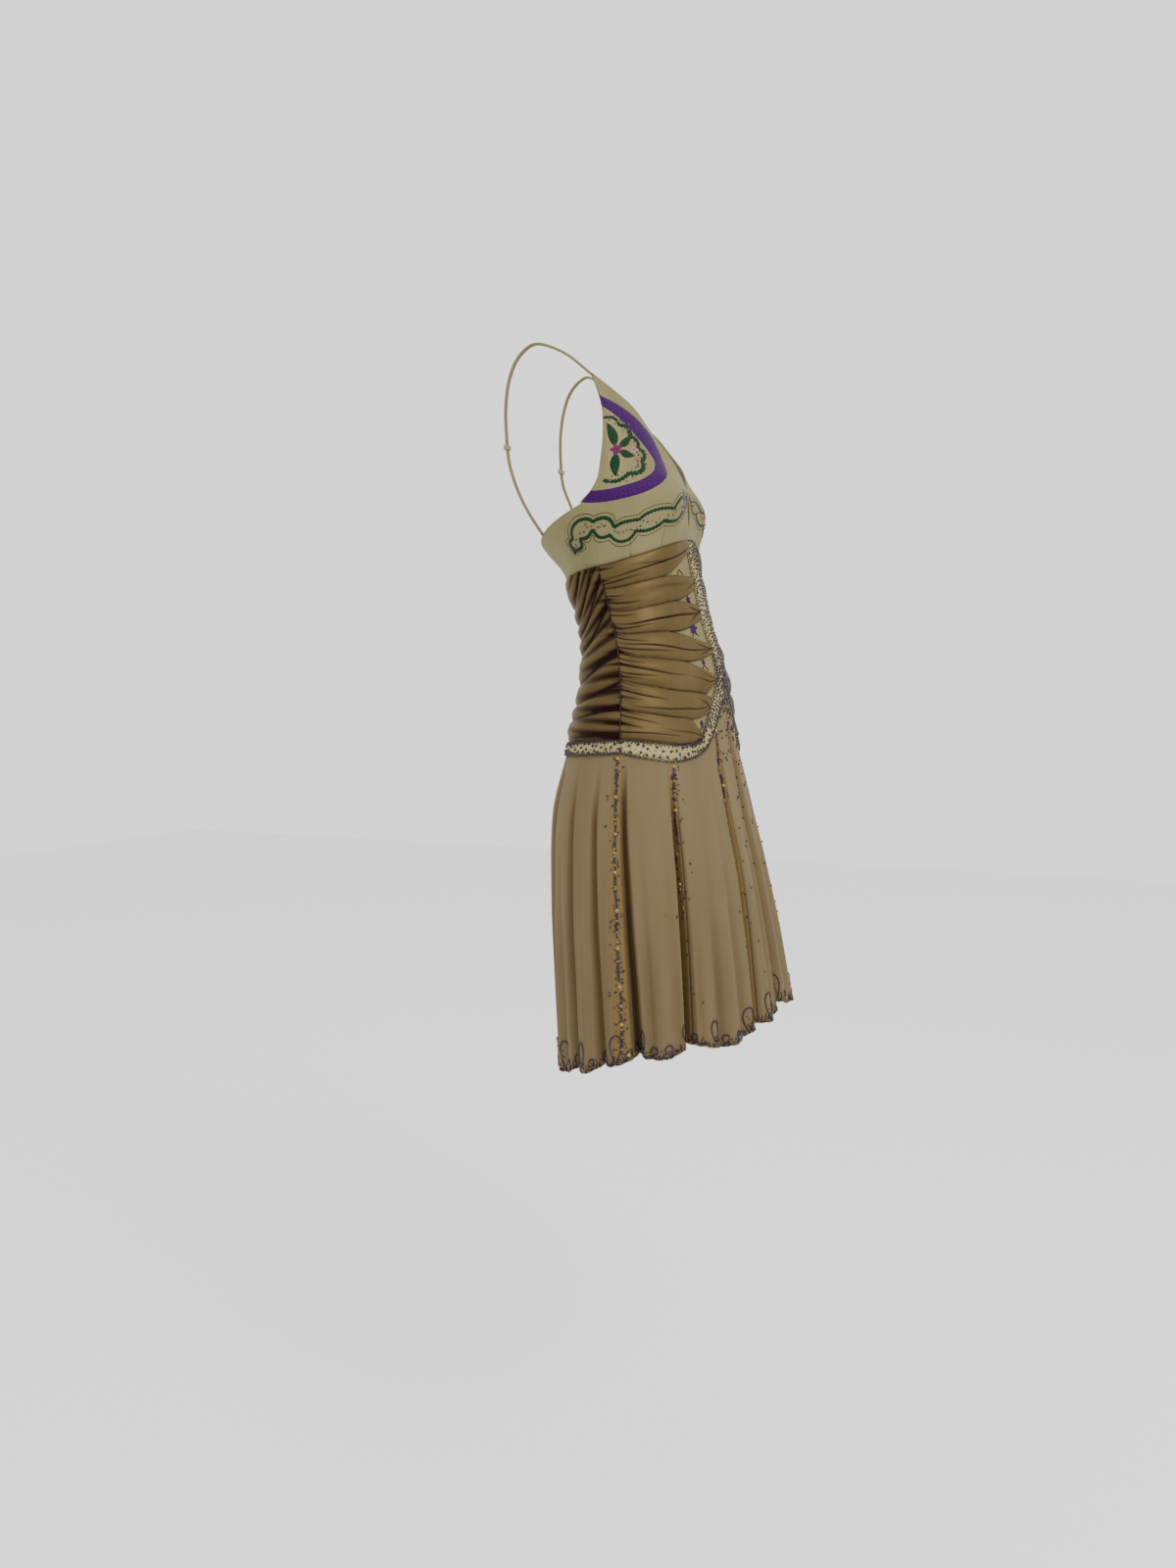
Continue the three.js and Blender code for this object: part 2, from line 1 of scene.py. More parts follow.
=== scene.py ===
# %% [markdown]
# # A beaded cocktail dress
# The real dress is made of satin, gathered satin and chiffon, with beads sewn on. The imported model
# already fixes its size and place. Here each panel gets its cloth: the same form as its solid, with
# the small creases, seams and beads that a solid is too coarse for.

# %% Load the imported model
import math

import bmesh
import bpy
import numpy as np
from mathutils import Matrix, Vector


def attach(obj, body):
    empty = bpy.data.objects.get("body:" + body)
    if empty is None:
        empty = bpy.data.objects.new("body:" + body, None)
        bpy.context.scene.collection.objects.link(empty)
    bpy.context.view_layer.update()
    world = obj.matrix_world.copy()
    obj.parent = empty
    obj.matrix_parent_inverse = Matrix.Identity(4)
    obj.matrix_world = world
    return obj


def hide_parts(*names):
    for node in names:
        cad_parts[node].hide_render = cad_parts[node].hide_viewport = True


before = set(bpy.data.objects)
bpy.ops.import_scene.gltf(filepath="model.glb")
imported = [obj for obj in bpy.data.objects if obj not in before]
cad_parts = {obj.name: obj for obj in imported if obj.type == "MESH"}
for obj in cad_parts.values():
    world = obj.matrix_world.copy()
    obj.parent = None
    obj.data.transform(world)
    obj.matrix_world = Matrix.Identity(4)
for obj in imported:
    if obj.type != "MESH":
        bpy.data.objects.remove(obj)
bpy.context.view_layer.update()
print("solids:", len(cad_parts))

# %% [markdown]
# ## The camera
# The picture was taken from the wearer's right, a little to the front, at about hip height. A lens of
# 27 mm from 1.6 m away gives the strong perspective: the hem is seen from above and the straps from
# below. The camera comes first, because everything else is judged through it.

# %% Camera
CAMERA_AT = Vector((-1.477, -0.666, -0.452))
CAMERA_TURN = math.radians(23.1)
CAMERA_DIP = math.radians(4.1)


def add_object(name, data):
    obj = bpy.data.objects.new(name, data)
    bpy.context.scene.collection.objects.link(obj)
    return obj


camera = add_object("camera", bpy.data.cameras.new("camera"))
camera.location = CAMERA_AT
camera.rotation_euler = (math.pi / 2 - CAMERA_DIP, 0, CAMERA_TURN - math.pi / 2)
camera.data.lens = 27.05
camera.data.sensor_width = 36
camera.data.clip_start = 0.05
bpy.context.scene.camera = camera
print("camera at", tuple(round(x, 3) for x in CAMERA_AT))

# %% [markdown]
# ## The figure that the dress is cut for
# Every panel is laid out on one simple form, so all seams meet. A place on it is an angle (0 at the
# centre front, positive to the wearer's right) and a level in millimetres below the straps. The table
# holds one section of the form for each level, as in a tailor's chart. Smooth curves join them.

# %% Figure table and curves
MM = 0.001
FIGURE = {
    "level": [0, 25, 62, 120, 205, 270, 350, 430, 505, 590, 700, 790, 920],
    "y": [-2, -10, -28, -55, -80, -100, -122, -134, -136, -138, -146, -156, -171],
    "tilt": [20, 20, 20, 20, 20, 18, 12, 7, 4, 4, 7, 11, 16],
    "turn": [12, 12, 12, 10, 7, 5, 2, 0, 0, 0, 0, 0, 0],
    "half": [104, 112, 118, 126, 140, 128, 116, 138, 163, 180, 194, 203, 215],
    "front": [22, 46, 68, 90, 94, 76, 72, 84, 95, 113, 131, 138, 145],
    "back": [42, 66, 92, 112, 108, 85, 81, 88, 105, 128, 136, 141, 147],
    "ridge": [0, 0, 0, 0, 0, 5, 7, 6, 4, 1, 0, 0, 0],
}


def curve(xs, ys):
    """A smooth curve through a table's values that doesn't overshoot."""
    x, y = np.array(xs, float), np.array(ys, float)
    slope = np.diff(y) / np.diff(x)
    at = np.concatenate([[slope[0]], np.zeros(len(x) - 2), [slope[-1]]])
    same = slope[:-1] * slope[1:] > 0
    pair = np.where(same, slope[:-1] + slope[1:], 1)
    at[1:-1] = np.where(same, 2 * slope[:-1] * slope[1:] / pair, 0)

    def value(v):
        v = np.clip(v, x[0], x[-1])
        i = np.clip(np.searchsorted(x, v, side="right") - 1, 0, len(x) - 2)
        h = x[i + 1] - x[i]
        t = (v - x[i]) / h
        rise = t * t * (3 - 2 * t)
        bend = at[i] * t * (1 - t) ** 2 - at[i + 1] * t * t * (1 - t)
        return y[i] * (1 - rise) + y[i + 1] * rise + h * bend

    return value


figure = {key: curve(FIGURE["level"], FIGURE[key]) for key in FIGURE if key != "level"}
print("waist half width:", float(figure["half"](350)), "mm")

# %% [markdown]
# A section is a flattened ellipse, deeper at the back. Two soft mounds stand for the cups, and a low
# ridge down the front lifts the band, as its beads and lining do.

# %% Points on the figure


def mix(a, b, t):
    return a + (b - a) * t


def smooth(t):
    t = np.clip(t, 0, 1)
    return t * t * (3 - 2 * t)


CUP_PHI, CUP_LEVEL, CUP_RISE = 38, 238, 26  # where the mounds stand and how far they rise
CUP_GIRTH, CUP_WIDE, CUP_HIGH = 110, 40, 42  # distance from the axis, and a mound's width and height
RIDGE_WIDE = 14  # degrees


def figure_point(phi, level):
    angle = np.radians(phi)
    cosine = np.cos(angle)
    depth = np.where(cosine > 0, figure["front"](level), figure["back"](level))
    away = (np.abs(phi) - CUP_PHI) * math.radians(CUP_GIRTH) / CUP_WIDE
    mound = CUP_RISE * np.exp(-(away**2) - ((level - CUP_LEVEL) / CUP_HIGH) ** 2)
    ridge = figure["ridge"](level) * np.exp(-((phi / RIDGE_WIDE) ** 2))
    forward = depth * cosine + mound + ridge
    side = -figure["half"](level) * np.sin(angle)
    tilt, turn = np.radians(figure["tilt"](level)), np.radians(figure["turn"](level))
    x = side * np.cos(turn) + forward * np.cos(tilt) * np.sin(turn)
    y = figure["y"](level) + side * np.sin(turn) - forward * np.cos(tilt) * np.cos(turn)
    return np.stack([x, y, -level + forward * np.sin(tilt)], -1)


def unit(v):
    return v / np.maximum(np.linalg.norm(v, axis=-1, keepdims=True), 1e-12)


def gaps(points):
    """Lengths between neighbouring points."""
    return np.linalg.norm(np.diff(points, axis=0), axis=1)


def run_along(points):
    return np.concatenate([[0], np.cumsum(gaps(points))])


def figure_normal(phi, level):
    across = figure_point(phi + 0.2, level) - figure_point(phi - 0.2, level)
    down = figure_point(phi, level + 0.4) - figure_point(phi, level - 0.4)
    return unit(np.cross(across, down))


def on_figure(phi, level, out):
    phi, level = np.broadcast_arrays(np.asarray(phi, float), np.asarray(level, float))
    out = np.broadcast_to(out, phi.shape)[..., None]
    return (figure_point(phi, level) + figure_normal(phi, level) * out) * MM


print("centre front at the waist:", on_figure(0, 350, 0).round(3))

# %% [markdown]
# ## Making a panel of cloth
# A panel starts as a flat grid, the way cloth comes off the roll. Its points are then laid on the
# figure. The grid's own two directions become the UV map in metres, so a weave keeps its real size
# and follows the cloth. Solidify gives it a thickness, and it leaves the outer face where it is.

# %% Panel helpers
CLOTH_THICK = 1.2 * MM


def mesh_from(bm, name):
    mesh = bpy.data.meshes.new(name)
    bm.to_mesh(mesh)
    bm.free()
    return mesh


def laid(shape, u, v):
    """Places of a shape, and the painted shade they get in folds: 0 unless the shape tells."""
    result = shape(u, v)
    return result if isinstance(result, tuple) else (result, 0 * u)


def grid_object(name, columns, rows, shape, uv_from=0.0):
    """A grid over (u, v) from 0 to 1, moved to shape(u, v)."""
    bm = bmesh.new()
    bmesh.ops.create_grid(bm, x_segments=columns, y_segments=rows, size=0.5)
    bmesh.ops.translate(bm, vec=(0.5, 0.5, 0), verts=bm.verts)
    mesh = mesh_from(bm, name)
    flat = np.empty(len(mesh.vertices) * 3)
    mesh.vertices.foreach_get("co", flat)
    u, v = flat.reshape(-1, 3)[:, 0].clip(0, 1), flat.reshape(-1, 3)[:, 1].clip(0, 1)
    places, fold = laid(shape, u, v)
    mesh.vertices.foreach_set("co", places.ravel())
    add_uv(mesh, u, v, shape, uv_from)
    # The fold attribute carries painted shade: how far a point's colour is darkened towards the crease
    # colour.
    mesh.attributes.new("fold", "FLOAT", "POINT").data.foreach_set("value", fold)
    mesh.polygons.foreach_set("use_smooth", [True] * len(mesh.polygons))
    return add_object(name, mesh)


def add_uv(mesh, u, v, shape, uv_from):
    """UV in metres: the mean width and height of the panel, with the height counted from uv_from."""
    steps = np.linspace(0, 1, 80)
    levels = [np.full(80, at) for at in (0.1, 0.5, 0.9)]
    width = np.mean([gaps(laid(shape, steps, at)[0]).sum() for at in levels])
    height = np.mean([gaps(laid(shape, at, steps)[0]).sum() for at in levels])
    corner = np.empty(len(mesh.loops), np.int32)
    mesh.loops.foreach_get("vertex_index", corner)
    uv = np.stack([u[corner] * width, uv_from + v[corner] * height], 1)
    layer = mesh.uv_layers.new(name="cloth")
    layer.data.foreach_set("uv", uv.ravel().astype(np.float32))


def face_outwards(obj, phi, level):
    """Turns a piece over if its middle face looks into the figure at that angle and level."""
    outward = Vector(figure_normal(np.float64(phi), np.float64(level)))
    if obj.data.polygons[len(obj.data.polygons) // 2].normal.dot(outward) < 0:
        obj.data.flip_normals()


def finish_cloth(obj, solid, material, slot, held):
    """Wall, material and frame that every panel needs."""
    obj.data.materials.append(material)
    uv = np.empty(len(obj.data.loops) * 2, np.float32)
    obj.data.uv_layers["cloth"].data.foreach_get("uv", uv)
    areas = np.empty(len(obj.data.polygons))
    obj.data.polygons.foreach_get("area", areas)
    wall = obj.modifiers.new("wall", "SOLIDIFY")
    wall.thickness, wall.offset, wall.use_even_offset = CLOTH_THICK, -1, False
    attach(obj, "root")
    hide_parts(solid)


def cloth_panel(solid, columns, rows, shape, middle, cloth):
    """A finished panel. Middle is a place on it, cloth its material, slot and how it is held; the slot
    and the hold are not used.
    """
    obj = grid_object(solid + "_cloth", columns, rows, shape)
    face_outwards(obj, *middle)
    finish_cloth(obj, solid, *cloth)


# %% [markdown]
# ## The finishes
# Satin is smooth and has broad, soft highlights, because its threads float over each other. Chiffon is
# matte and a little pebbly, and it glows at grazing angles. Each finish is a small set of nodes: a
# colour that varies a little over the cloth, and a bump at thread size.

# %% Material helpers


def feed(material, made, inputs):
    """Gives a node's inputs a value each, or another node's output to follow."""
    for key, value in inputs.items():
        if isinstance(value, bpy.types.NodeSocket):
            material.node_tree.links.new(value, made.inputs[key])
        else:
            colour = made.inputs[key].type == "RGBA"
            made.inputs[key].default_value = (*value, 1) if colour else value


def new_finish(name, colour, roughness, more=()):
    material = bpy.data.materials.new(name)
    material.use_nodes = True
    shader = material.node_tree.nodes["Principled BSDF"]
    inputs = {"Base Color": colour, "Roughness": roughness, "Sheen Roughness": 0.35}
    feed(material, shader, {**inputs, **dict(more)})
    return material, shader


def node(material, kind, inputs=(), output=0, **settings):
    """Adds a node and returns one of its outputs."""
    made = material.node_tree.nodes.new(kind)
    for key, value in settings.items():
        setattr(made, key, value)
    feed(material, made, dict(inputs))
    return made.outputs[output]


def cloth_noise(material, scale, stretch, detail):
    """Noise in the cloth's own UV, in cycles a metre."""
    place = node(material, "ShaderNodeTexCoord", output="UV")
    place = node(material, "ShaderNodeMapping", {"Vector": place, "Scale": stretch})
    inputs = {"Vector": place, "Scale": scale, "Detail": detail}
    return node(material, "ShaderNodeTexNoise", inputs, "Fac")


def blend(material, shader, factor, low, high, start=0, end=1, most=1):
    """Runs the base colour from low, a colour or another blend, to high."""
    inputs = {"Value": factor, "From Min": start, "From Max": end, "To Max": most}
    inputs = {"Factor": node(material, "ShaderNodeMapRange", inputs), "A": low, "B": high}
    colour = node(material, "ShaderNodeMix", inputs, "Result", data_type="RGBA")
    feed(material, shader, {"Base Color": colour})
    return colour


def add_bump(material, shader, height, strength, distance):
    inputs = {"Height": height, "Strength": strength, "Distance": distance}
    feed(material, shader, {"Normal": node(material, "ShaderNodeBump", inputs)})


def colour_cloth(material, shader, low, high, crease, broad, depth=1):
    """Two near colours in broad patches, and a third, darker one painted deep in the folds as shade."""
    colour = blend(material, shader, broad, low, high, 0.3, 0.7)
    # Painted shade: the fold attribute blends the colour towards the crease colour.
    fold = node(material, "ShaderNodeAttribute", output="Fac", attribute_name="fold")
    blend(material, shader, fold, colour, crease, most=depth)


# %% Satins
GOLDEN = (1, 0.78, 0.46)  # satin's highlights take the cloth's own colour


def satin(name, low, high, crease, roughness, glow):
    """Glow is the share of light that the threads throw back in their own colour."""
    more = {"Specular IOR Level": 0.07, "Specular Tint": GOLDEN, "Metallic": glow}
    material, shader = new_finish(name, high, roughness, more)
    colour_cloth(material, shader, low, high, crease, cloth_noise(material, 22, (1, 0.35, 1), 3))
    add_bump(material, shader, cloth_noise(material, 900, (1, 0.06, 1), 2), 0.12, 0.0003)
    return material


# The third colour of each satin is painted shade for the bottom of its folds, darts and creases.
pale_satin = satin(
    "gold_cloth", (0.15, 0.13, 0.062), (0.195, 0.17, 0.083), (0.05, 0.03, 0.012), 0.55, 0.12
)
bronze_satin = satin(
    "bronze_cloth", (0.078, 0.053, 0.021), (0.104, 0.072, 0.032), (0.008, 0.002, 0.002), 0.45, 0.32
)
band_silk = satin(
    "band_silk", (0.26, 0.215, 0.1), (0.33, 0.275, 0.135), (0.2, 0.17, 0.1), 0.6, 0.1
)
print("satins:", pale_satin.name, bronze_satin.name, band_silk.name)

# %% Chiffon and inset strip


def chiffon(name, low, high, crease):
    more = {"Sheen Weight": 0.15, "Sheen Tint": (0.6, 0.48, 0.28), "Specular IOR Level": 0.12}
    material, shader = new_finish(name, high, 0.85, more)
    broad = cloth_noise(material, 9, (1, 0.25, 1), 3)
    colour_cloth(material, shader, low, high, crease, broad, 0.75)
    add_bump(material, shader, cloth_noise(material, 1100, (1, 0.6, 1), 3), 0.25, 0.0004)
    return material


# The third colour of each chiffon is painted shade for the pleat valleys and drape hollows, tinted warm
# to stand in for light coming through the thin cloth as well.
chiffon_cloth = chiffon(
    "chiffon_cloth", (0.108, 0.077, 0.038), (0.152, 0.112, 0.058), (0.082, 0.046, 0.012)
)
strip_cloth = chiffon(
    "strip_cloth", (0.125, 0.08, 0.028), (0.165, 0.11, 0.042), (0.082, 0.045, 0.012)
)
PALE = (pale_satin, "pale_satin", "stretched")
BRONZE = (bronze_satin, "bronze_satin", "gathered")
BAND_SILK = (band_silk, "beaded_band", "stretched")
CHIFFON = (chiffon_cloth, "chiffon", "hung")
STRIP = (strip_cloth, "sequin_strip", "hung")
print("chiffons:", chiffon_cloth.name, strip_cloth.name)

# %% [markdown]
# ## Seams
# The seams are short tables of angle and level, the same ones that the solids use. The band's inner
# edge borders the sash and its outer edge borders the skirt.

# %% Seam curves
underbust = curve(
    [0, 11, 43, 61, 85, 97, 120, 150, 180], [269, 272, 281, 285, 286.5, 284.5, 280, 276.5, 275.5]
)
side_seam = curve([200, 285, 337, 387, 436, 501, 530], [97, 97, 96, 90.8, 86, 83, 82.5])
back_edge = curve([97, 111, 140, 180], [209.5, 211, 213, 218])
BAND = {
    "inner_phi": [11, 11.2, 10.6, 9, 8.2, 11, 19, 25, 29.5, 36, 46, 64, 82.8],
    "inner_level": [272.5, 310, 350, 395, 424, 445, 473, 495, 508, 512, 512, 507, 501.5],
    "outer_phi": [0, 0, 0, 0, 0, 1.2, 8.6, 16, 25, 34.5, 47, 67, 82.5],
    "outer_level": [270, 309, 350, 395, 432, 453, 474, 497, 519, 529, 532.5, 525.5, 518],
}
band = {key: curve(range(13), values) for key, values in BAND.items()}
HIP_TOP, HIP_BOTTOM = 501.5, 518
SIDE_PHI, BACK_PHI = 97, 180  # the bodice's side seam and the centre back
SEAM_GAP = 0.36  # neighbours lie this far apart along a seam
SIDES = (("right", 1), ("left", -1))
skirt_top = curve([0, *BAND["outer_phi"][5:], 180], [452, *BAND["outer_level"][5:], HIP_BOTTOM])


def sash_top(phi):
    return underbust(phi) + SEAM_GAP


print("skirt starts at", float(skirt_top(0)), "mm in front and", HIP_BOTTOM, "mm at the back")

# %% [markdown]
# ## The skirt
# Chiffon hangs straight from the band and opens into pleats. Each pleat is a valley whose depth grows
# towards the hem, and one lip of it leans over the valley. Between the pleats the cloth has softer,
# uneven drapes, so a second table gives each one its own place, width, depth and starting height.

# %% Pleat tables
PLEATS = [  # top, hem, half width, depth, lean
    (0, 1, 5.5, 15, 0),
    (15.5, 22, 4.6, 20, -1.6),
    (50.5, 57, 4.6, 24, -2),
    (80, 80.5, 3.9, 27, -0.6),
    (97, 99, 4, 13, 0.8),
    (113, 116, 4.4, 12, 0.6),
    (133, 136, 5, 18, 0.8),
    (155, 158, 5, 15, 0.6),
    (180, 180, 5.5, 15, 0),
]
ALL_PLEATS = PLEATS + [(-top, -hem, half, depth, -lean) for top, hem, half, depth, lean in PLEATS[1:]]
DRAPES = [  # top, hem, half width, depth (below 0 is a ridge), start
    (6, 9, 2.2, 3.6, 0.1),
    (10.5, 14.5, 1.8, -2.6, 0.2),
    (26, 31, 1.7, 4.6, 0.05),
    (31, 37, 2.2, -3.4, 0.15),
    (36, 42.5, 1.8, 5.2, 0.08),
    (42, 48, 1.8, -2.6, 0.3),
    (45.5, 51.5, 1.2, 2.4, 0.4),
    (58, 63.5, 1.7, 2.6, 0.15),
    (64, 68, 2.6, -2.6, 0.3),
    (71, 73.5, 1.9, 3.4, 0.12),
    (76, 77.5, 1.4, -2.2, 0.3),
    (91, 95, 1.4, 2.0, 0.1),
    (104, 107, 2.2, -3.0, 0.15),
    (122, 126, 2.2, 3.6, 0.15),
    (128, 130.5, 1.6, -2.4, 0.35),
    (143, 147, 2.4, 3.6, 0.12),
    (164, 168, 2.4, 3.2, 0.15),
    (171, 173.5, 1.8, -2.4, 0.35),
]
ALL_DRAPES = DRAPES + [
    (-top - 1.2, -hem - 1.5, half, depth, start) for top, hem, half, depth, start in DRAPES
]
HEM_LOBES = [  # from, to, level, drop
    (0, 22, 876, 9),
    (22, 57, 884, 15),
    (57, 80.5, 876, 10),
    (80.5, 99, 874, 5),
    (99, 116, 878, 8),
    (116, 136, 880, 9),
    (136, 158, 882, 9),
    (158, 180, 884, 8),
]
print("pleats:", len(ALL_PLEATS), "drapes:", len(ALL_DRAPES))

# %% Skirt surface
SKIRT_OUT, FLARE = 1.4, 3  # millimetres out at the band, and how many more at the hem
DRAPE_GAIN = 1.35  # drapes are this much deeper than their table says


def hem_level(phi):
    angle = np.clip(np.abs(phi), 0, 180)
    level = np.zeros_like(angle)
    for i, (start, end, here, drop) in enumerate(HEM_LOBES):
        following = HEM_LOBES[min(i + 1, len(HEM_LOBES) - 1)][2]
        inside = (angle >= start) & (angle <= end)
        t = (angle - start) / (end - start)
        level = np.where(inside, mix(here, following, smooth(t)) + drop * np.sin(math.pi * t), level)
    return level


def skirt_point(top_phi, hem_phi, down, lift=0.0):
    """A point of the skirt, and its painted shade from 0 to 1, deepest in a pleat's valley."""
    phi = mix(top_phi, hem_phi, down)
    level = mix(skirt_top(np.abs(top_phi)) + SEAM_GAP, hem_level(hem_phi), down)
    opening = smooth(down / 0.25) * 0.35 + down * 0.65
    out = SKIRT_OUT + FLARE * opening + lift
    lean = np.zeros_like(phi)
    # shade is painted shade: full in the pleat valleys, and lighter in the hollows of the drapes.
    shade = np.zeros_like(phi)
    for top, hem, half, depth, bend in ALL_PLEATS:
        width = half * mix(0.62, 1, down)
        t = (phi - mix(top, hem, down)) / width
        valley = np.where(np.abs(t) < 1, np.cos(np.clip(t, -1, 1) * math.pi / 2) ** 1.5, 0)
        out = out - depth * opening * valley
        shade = np.maximum(shade, valley * np.minimum(1, opening * 2))
        lip = t + np.sign(bend if bend else 1) * 1.15
        lean = lean + bend * opening * np.exp(-(lip**2) * 1.6)
    for top, hem, half, depth, start in ALL_DRAPES:
        t = (phi - mix(top, hem, down)) / half
        fall = smooth((down - start) / (0.85 - start)) * np.exp(-(t**2))
        out = out - DRAPE_GAIN * depth * fall
        shade = np.maximum(shade, 0.3 * fall * (depth > 0))
    return on_figure(phi + lean, level, out), shade


# %% [markdown]
# The skirt is cut in panels with narrow strips let in between them. Each panel ends exactly where the
# next one starts, and its top row runs up behind the band, so no light shows through the seams.

# %% Skirt panels
SEAMS = {
    "centre_front": (-12.8, -19.2),
    "front_inner": (12.8, 19.2),
    "front_outer": (18, 24.6),
    "mid_inner": (48.2, 54.4),
    "mid_outer": (52.8, 59.6),
    "side_inner": (80.9, 83.2),
    "side_outer": (87, 91.5),
    "centre_back": (180, 180),
}
HALF_SKIRT = [  # node, from, to, columns, strip
    ("skirt_insert_front", "front_inner", "front_outer", 14, True),
    ("skirt_front", "front_outer", "mid_inner", 60, False),
    ("skirt_insert_mid", "mid_inner", "mid_outer", 14, True),
    ("skirt_side", "mid_outer", "side_inner", 50, False),
    ("skirt_insert_side", "side_inner", "side_outer", 16, True),
    ("skirt_back", "side_outer", "centre_back", 120, False),
]
SKIRT_ROWS = 64
SKIRT_TUCK = 0.012  # share of its length by which the skirt runs up behind the band


def skirt_panel(solid, start, end, columns, strip):
    def shape(u, v):
        top, hem = mix(start[0], end[0], u), mix(start[1], end[1], u)
        return skirt_point(top, hem, np.where(v > 0.999, -SKIRT_TUCK, 1 - v))

    middle = ((start[0] + end[0]) / 2, 700)
    cloth_panel(solid, columns, SKIRT_ROWS, shape, middle, STRIP if strip else CHIFFON)


skirt_panel("skirt_front_centre", SEAMS["centre_front"], SEAMS["front_inner"], 60, False)
for solid, first, last, columns, strip in HALF_SKIRT:
    start, end = SEAMS[first], SEAMS[last]
    skirt_panel(solid + "_right", start, end, columns, strip)
    other_side = [tuple(-x for x in end), tuple(-x for x in start)]
    skirt_panel(solid + "_left", *other_side, columns, strip)

# %% [markdown]
# ## The bodice
# Two cups rise from the underbust seam to the straps, and meet at the centre front except at a small
# opening under the neckline. A dart takes in the cloth below each cup. A dart is a short stitched
# fold, so it shows as a fine trough with painted shade along it.

# %% Bodice panels
CUP = {
    "up": [0, 0.1, 0.25, 0.4, 0.52, 0.62, 0.72, 0.8, 0.88, 0.95, 1],
    "front_phi": [0.1, 0.1, 2.7, 0.1, 10, 22, 33, 40, 47, 53, 56.2],
    "front_level": [269, 262, 238, 214, 191, 168, 142, 117, 91, 70, 60],
    "side_phi": [97, 97, 97, 97, 88, 81.5, 77.5, 73.8, 69.6, 64.5, 60],
    "side_level": [284.5, 264, 237, 209.5, 199.5, 186.5, 165, 141, 114, 84, 62],
}
cup = {key: curve(CUP["up"], CUP[key]) for key in CUP if key != "up"}
DARTS = [(44, 284, 44, 246), (68, 286, 66, 258)]  # phi and level at the seam and at the tip
PANEL_OUT = 1.4
SEAM_ALLOWANCE = 4.5  # the bodice runs on under the sash, as a seam's turnings do
armhole = curve(*(CUP[key][:3:-1] + CUP[key][3:4] for key in ("side_level", "side_phi")))
ARMHOLE_FOOT = 209  # level where the armhole ends


def inside_armhole(phi, level):
    """Keeps stitches on the cloth: no further round than the armhole edge at their level."""
    kept = np.minimum(np.abs(phi), armhole(level) - 0.3)
    return np.sign(phi) * np.where(level < ARMHOLE_FOOT, kept, np.abs(phi))


def dart_depth(phi, level):
    depth = np.zeros_like(phi)
    for foot_phi, foot, tip_phi, tip in DARTS:
        t = (foot - level) / (foot - tip)
        centre = mix(foot_phi, tip_phi, t)
        along = np.where((t > -0.2) & (t < 1), 1 - np.clip(t, 0, 1), 0) ** 0.5
        depth = np.maximum(depth, along * np.exp(-(((phi - centre) / 0.45) ** 2)))
    return depth


def cup_place(u, v):
    phi = mix(cup["front_phi"](v), cup["side_phi"](v), u)
    sag = underbust(phi) - mix(CUP["front_level"][0], CUP["side_level"][0], u)
    level = mix(cup["front_level"](v), cup["side_level"](v), u) + sag * (1 - smooth(v / 0.3))
    return phi, level


LOWEST_FRONT, LOWEST_BACK = 0.015, 0.04  # height of the lowest row, as a share of the panel's


def bodice(side, hand):
    def front(u, v):
        phi, level = cup_place(u, v)
        dart = dart_depth(phi, level)
        level = level + SEAM_ALLOWANCE * np.clip(1 - v / LOWEST_FRONT, 0, 1)
        # The dart's trough also gets painted shade.
        return on_figure(hand * phi, level, PANEL_OUT - 0.8 * dart), dart * 0.6

    def back(u, v):
        phi = mix(SIDE_PHI, BACK_PHI, u)
        level = mix(underbust(phi), back_edge(phi), v)
        level = level + SEAM_ALLOWANCE * np.clip(1 - v / LOWEST_BACK, 0, 1)
        return on_figure(hand * phi, level, PANEL_OUT)

    cloth_panel(f"bodice_front_{side}", 90, 64, front, (hand * 40, 230), PALE)
    cloth_panel(f"bodice_back_{side}", 50, 24, back, (hand * 140, 245), PALE)


for side, hand in SIDES:
    bodice(side, hand)

# %% [markdown]
# ## The plain panel under the sash
# It shows only in the small gaps between the sash folds at the centre front.

# %% Under panel
UNDER_PHI, UNDER_OUT = 46, 1.2


def under_shape(u, v):
    phi = mix(-UNDER_PHI, UNDER_PHI, u)
    top, bottom = sash_top(np.abs(phi)), skirt_top(np.abs(phi)) - 5
    return on_figure(phi, mix(bottom, top, v), UNDER_OUT)


under_panel = grid_object("under_panel_cloth", 60, 60, under_shape)
face_outwards(under_panel, 0, 390)
finish_cloth(under_panel, "under_panel_front", *PALE)

# %% [markdown]
# ## The gathered sash
# One wide piece of satin is gathered tightly at the side seam and drawn into points at the band, so
# it falls into folds that fan out between them. The table follows each fold's upper edge: where it
# leaves the side seam, where it parts from its neighbour, how far forward that is, and where it ends.
# The lowest fold turns in behind the band.

# %% Sash patch
FOLDS = [  # side, parting, forward, tip
    (0, 0, 0, 0.022),
    (0.13, 0.115, 0.6, 0.158),
    (0.26, 0.215, 0.7, 0.257),
    (0.39, 0.335, 0.54, 0.382),
    (0.52, 0.48, 0.6, 0.555),
    (0.67, 0.65, 0.87, 0.717),
    (0.83, 0.795, 0.7, 0.932),
]
TIP_HALF = 0.021
SASH_OUT, SASH_GAP = 3.7, 0.6
SWELL, BACK_SWELL = 3.5, 3.9  # how far the folds stand out
TUCK_OUT, TUCK_DROP = 1.6, 4.0  # the sash's lower edge turns in and runs down behind the band
BAND_SEAM = 8.3  # how far along the band the sash's front edge reaches
BAND_GAP = 0.32  # degrees between that edge and the band


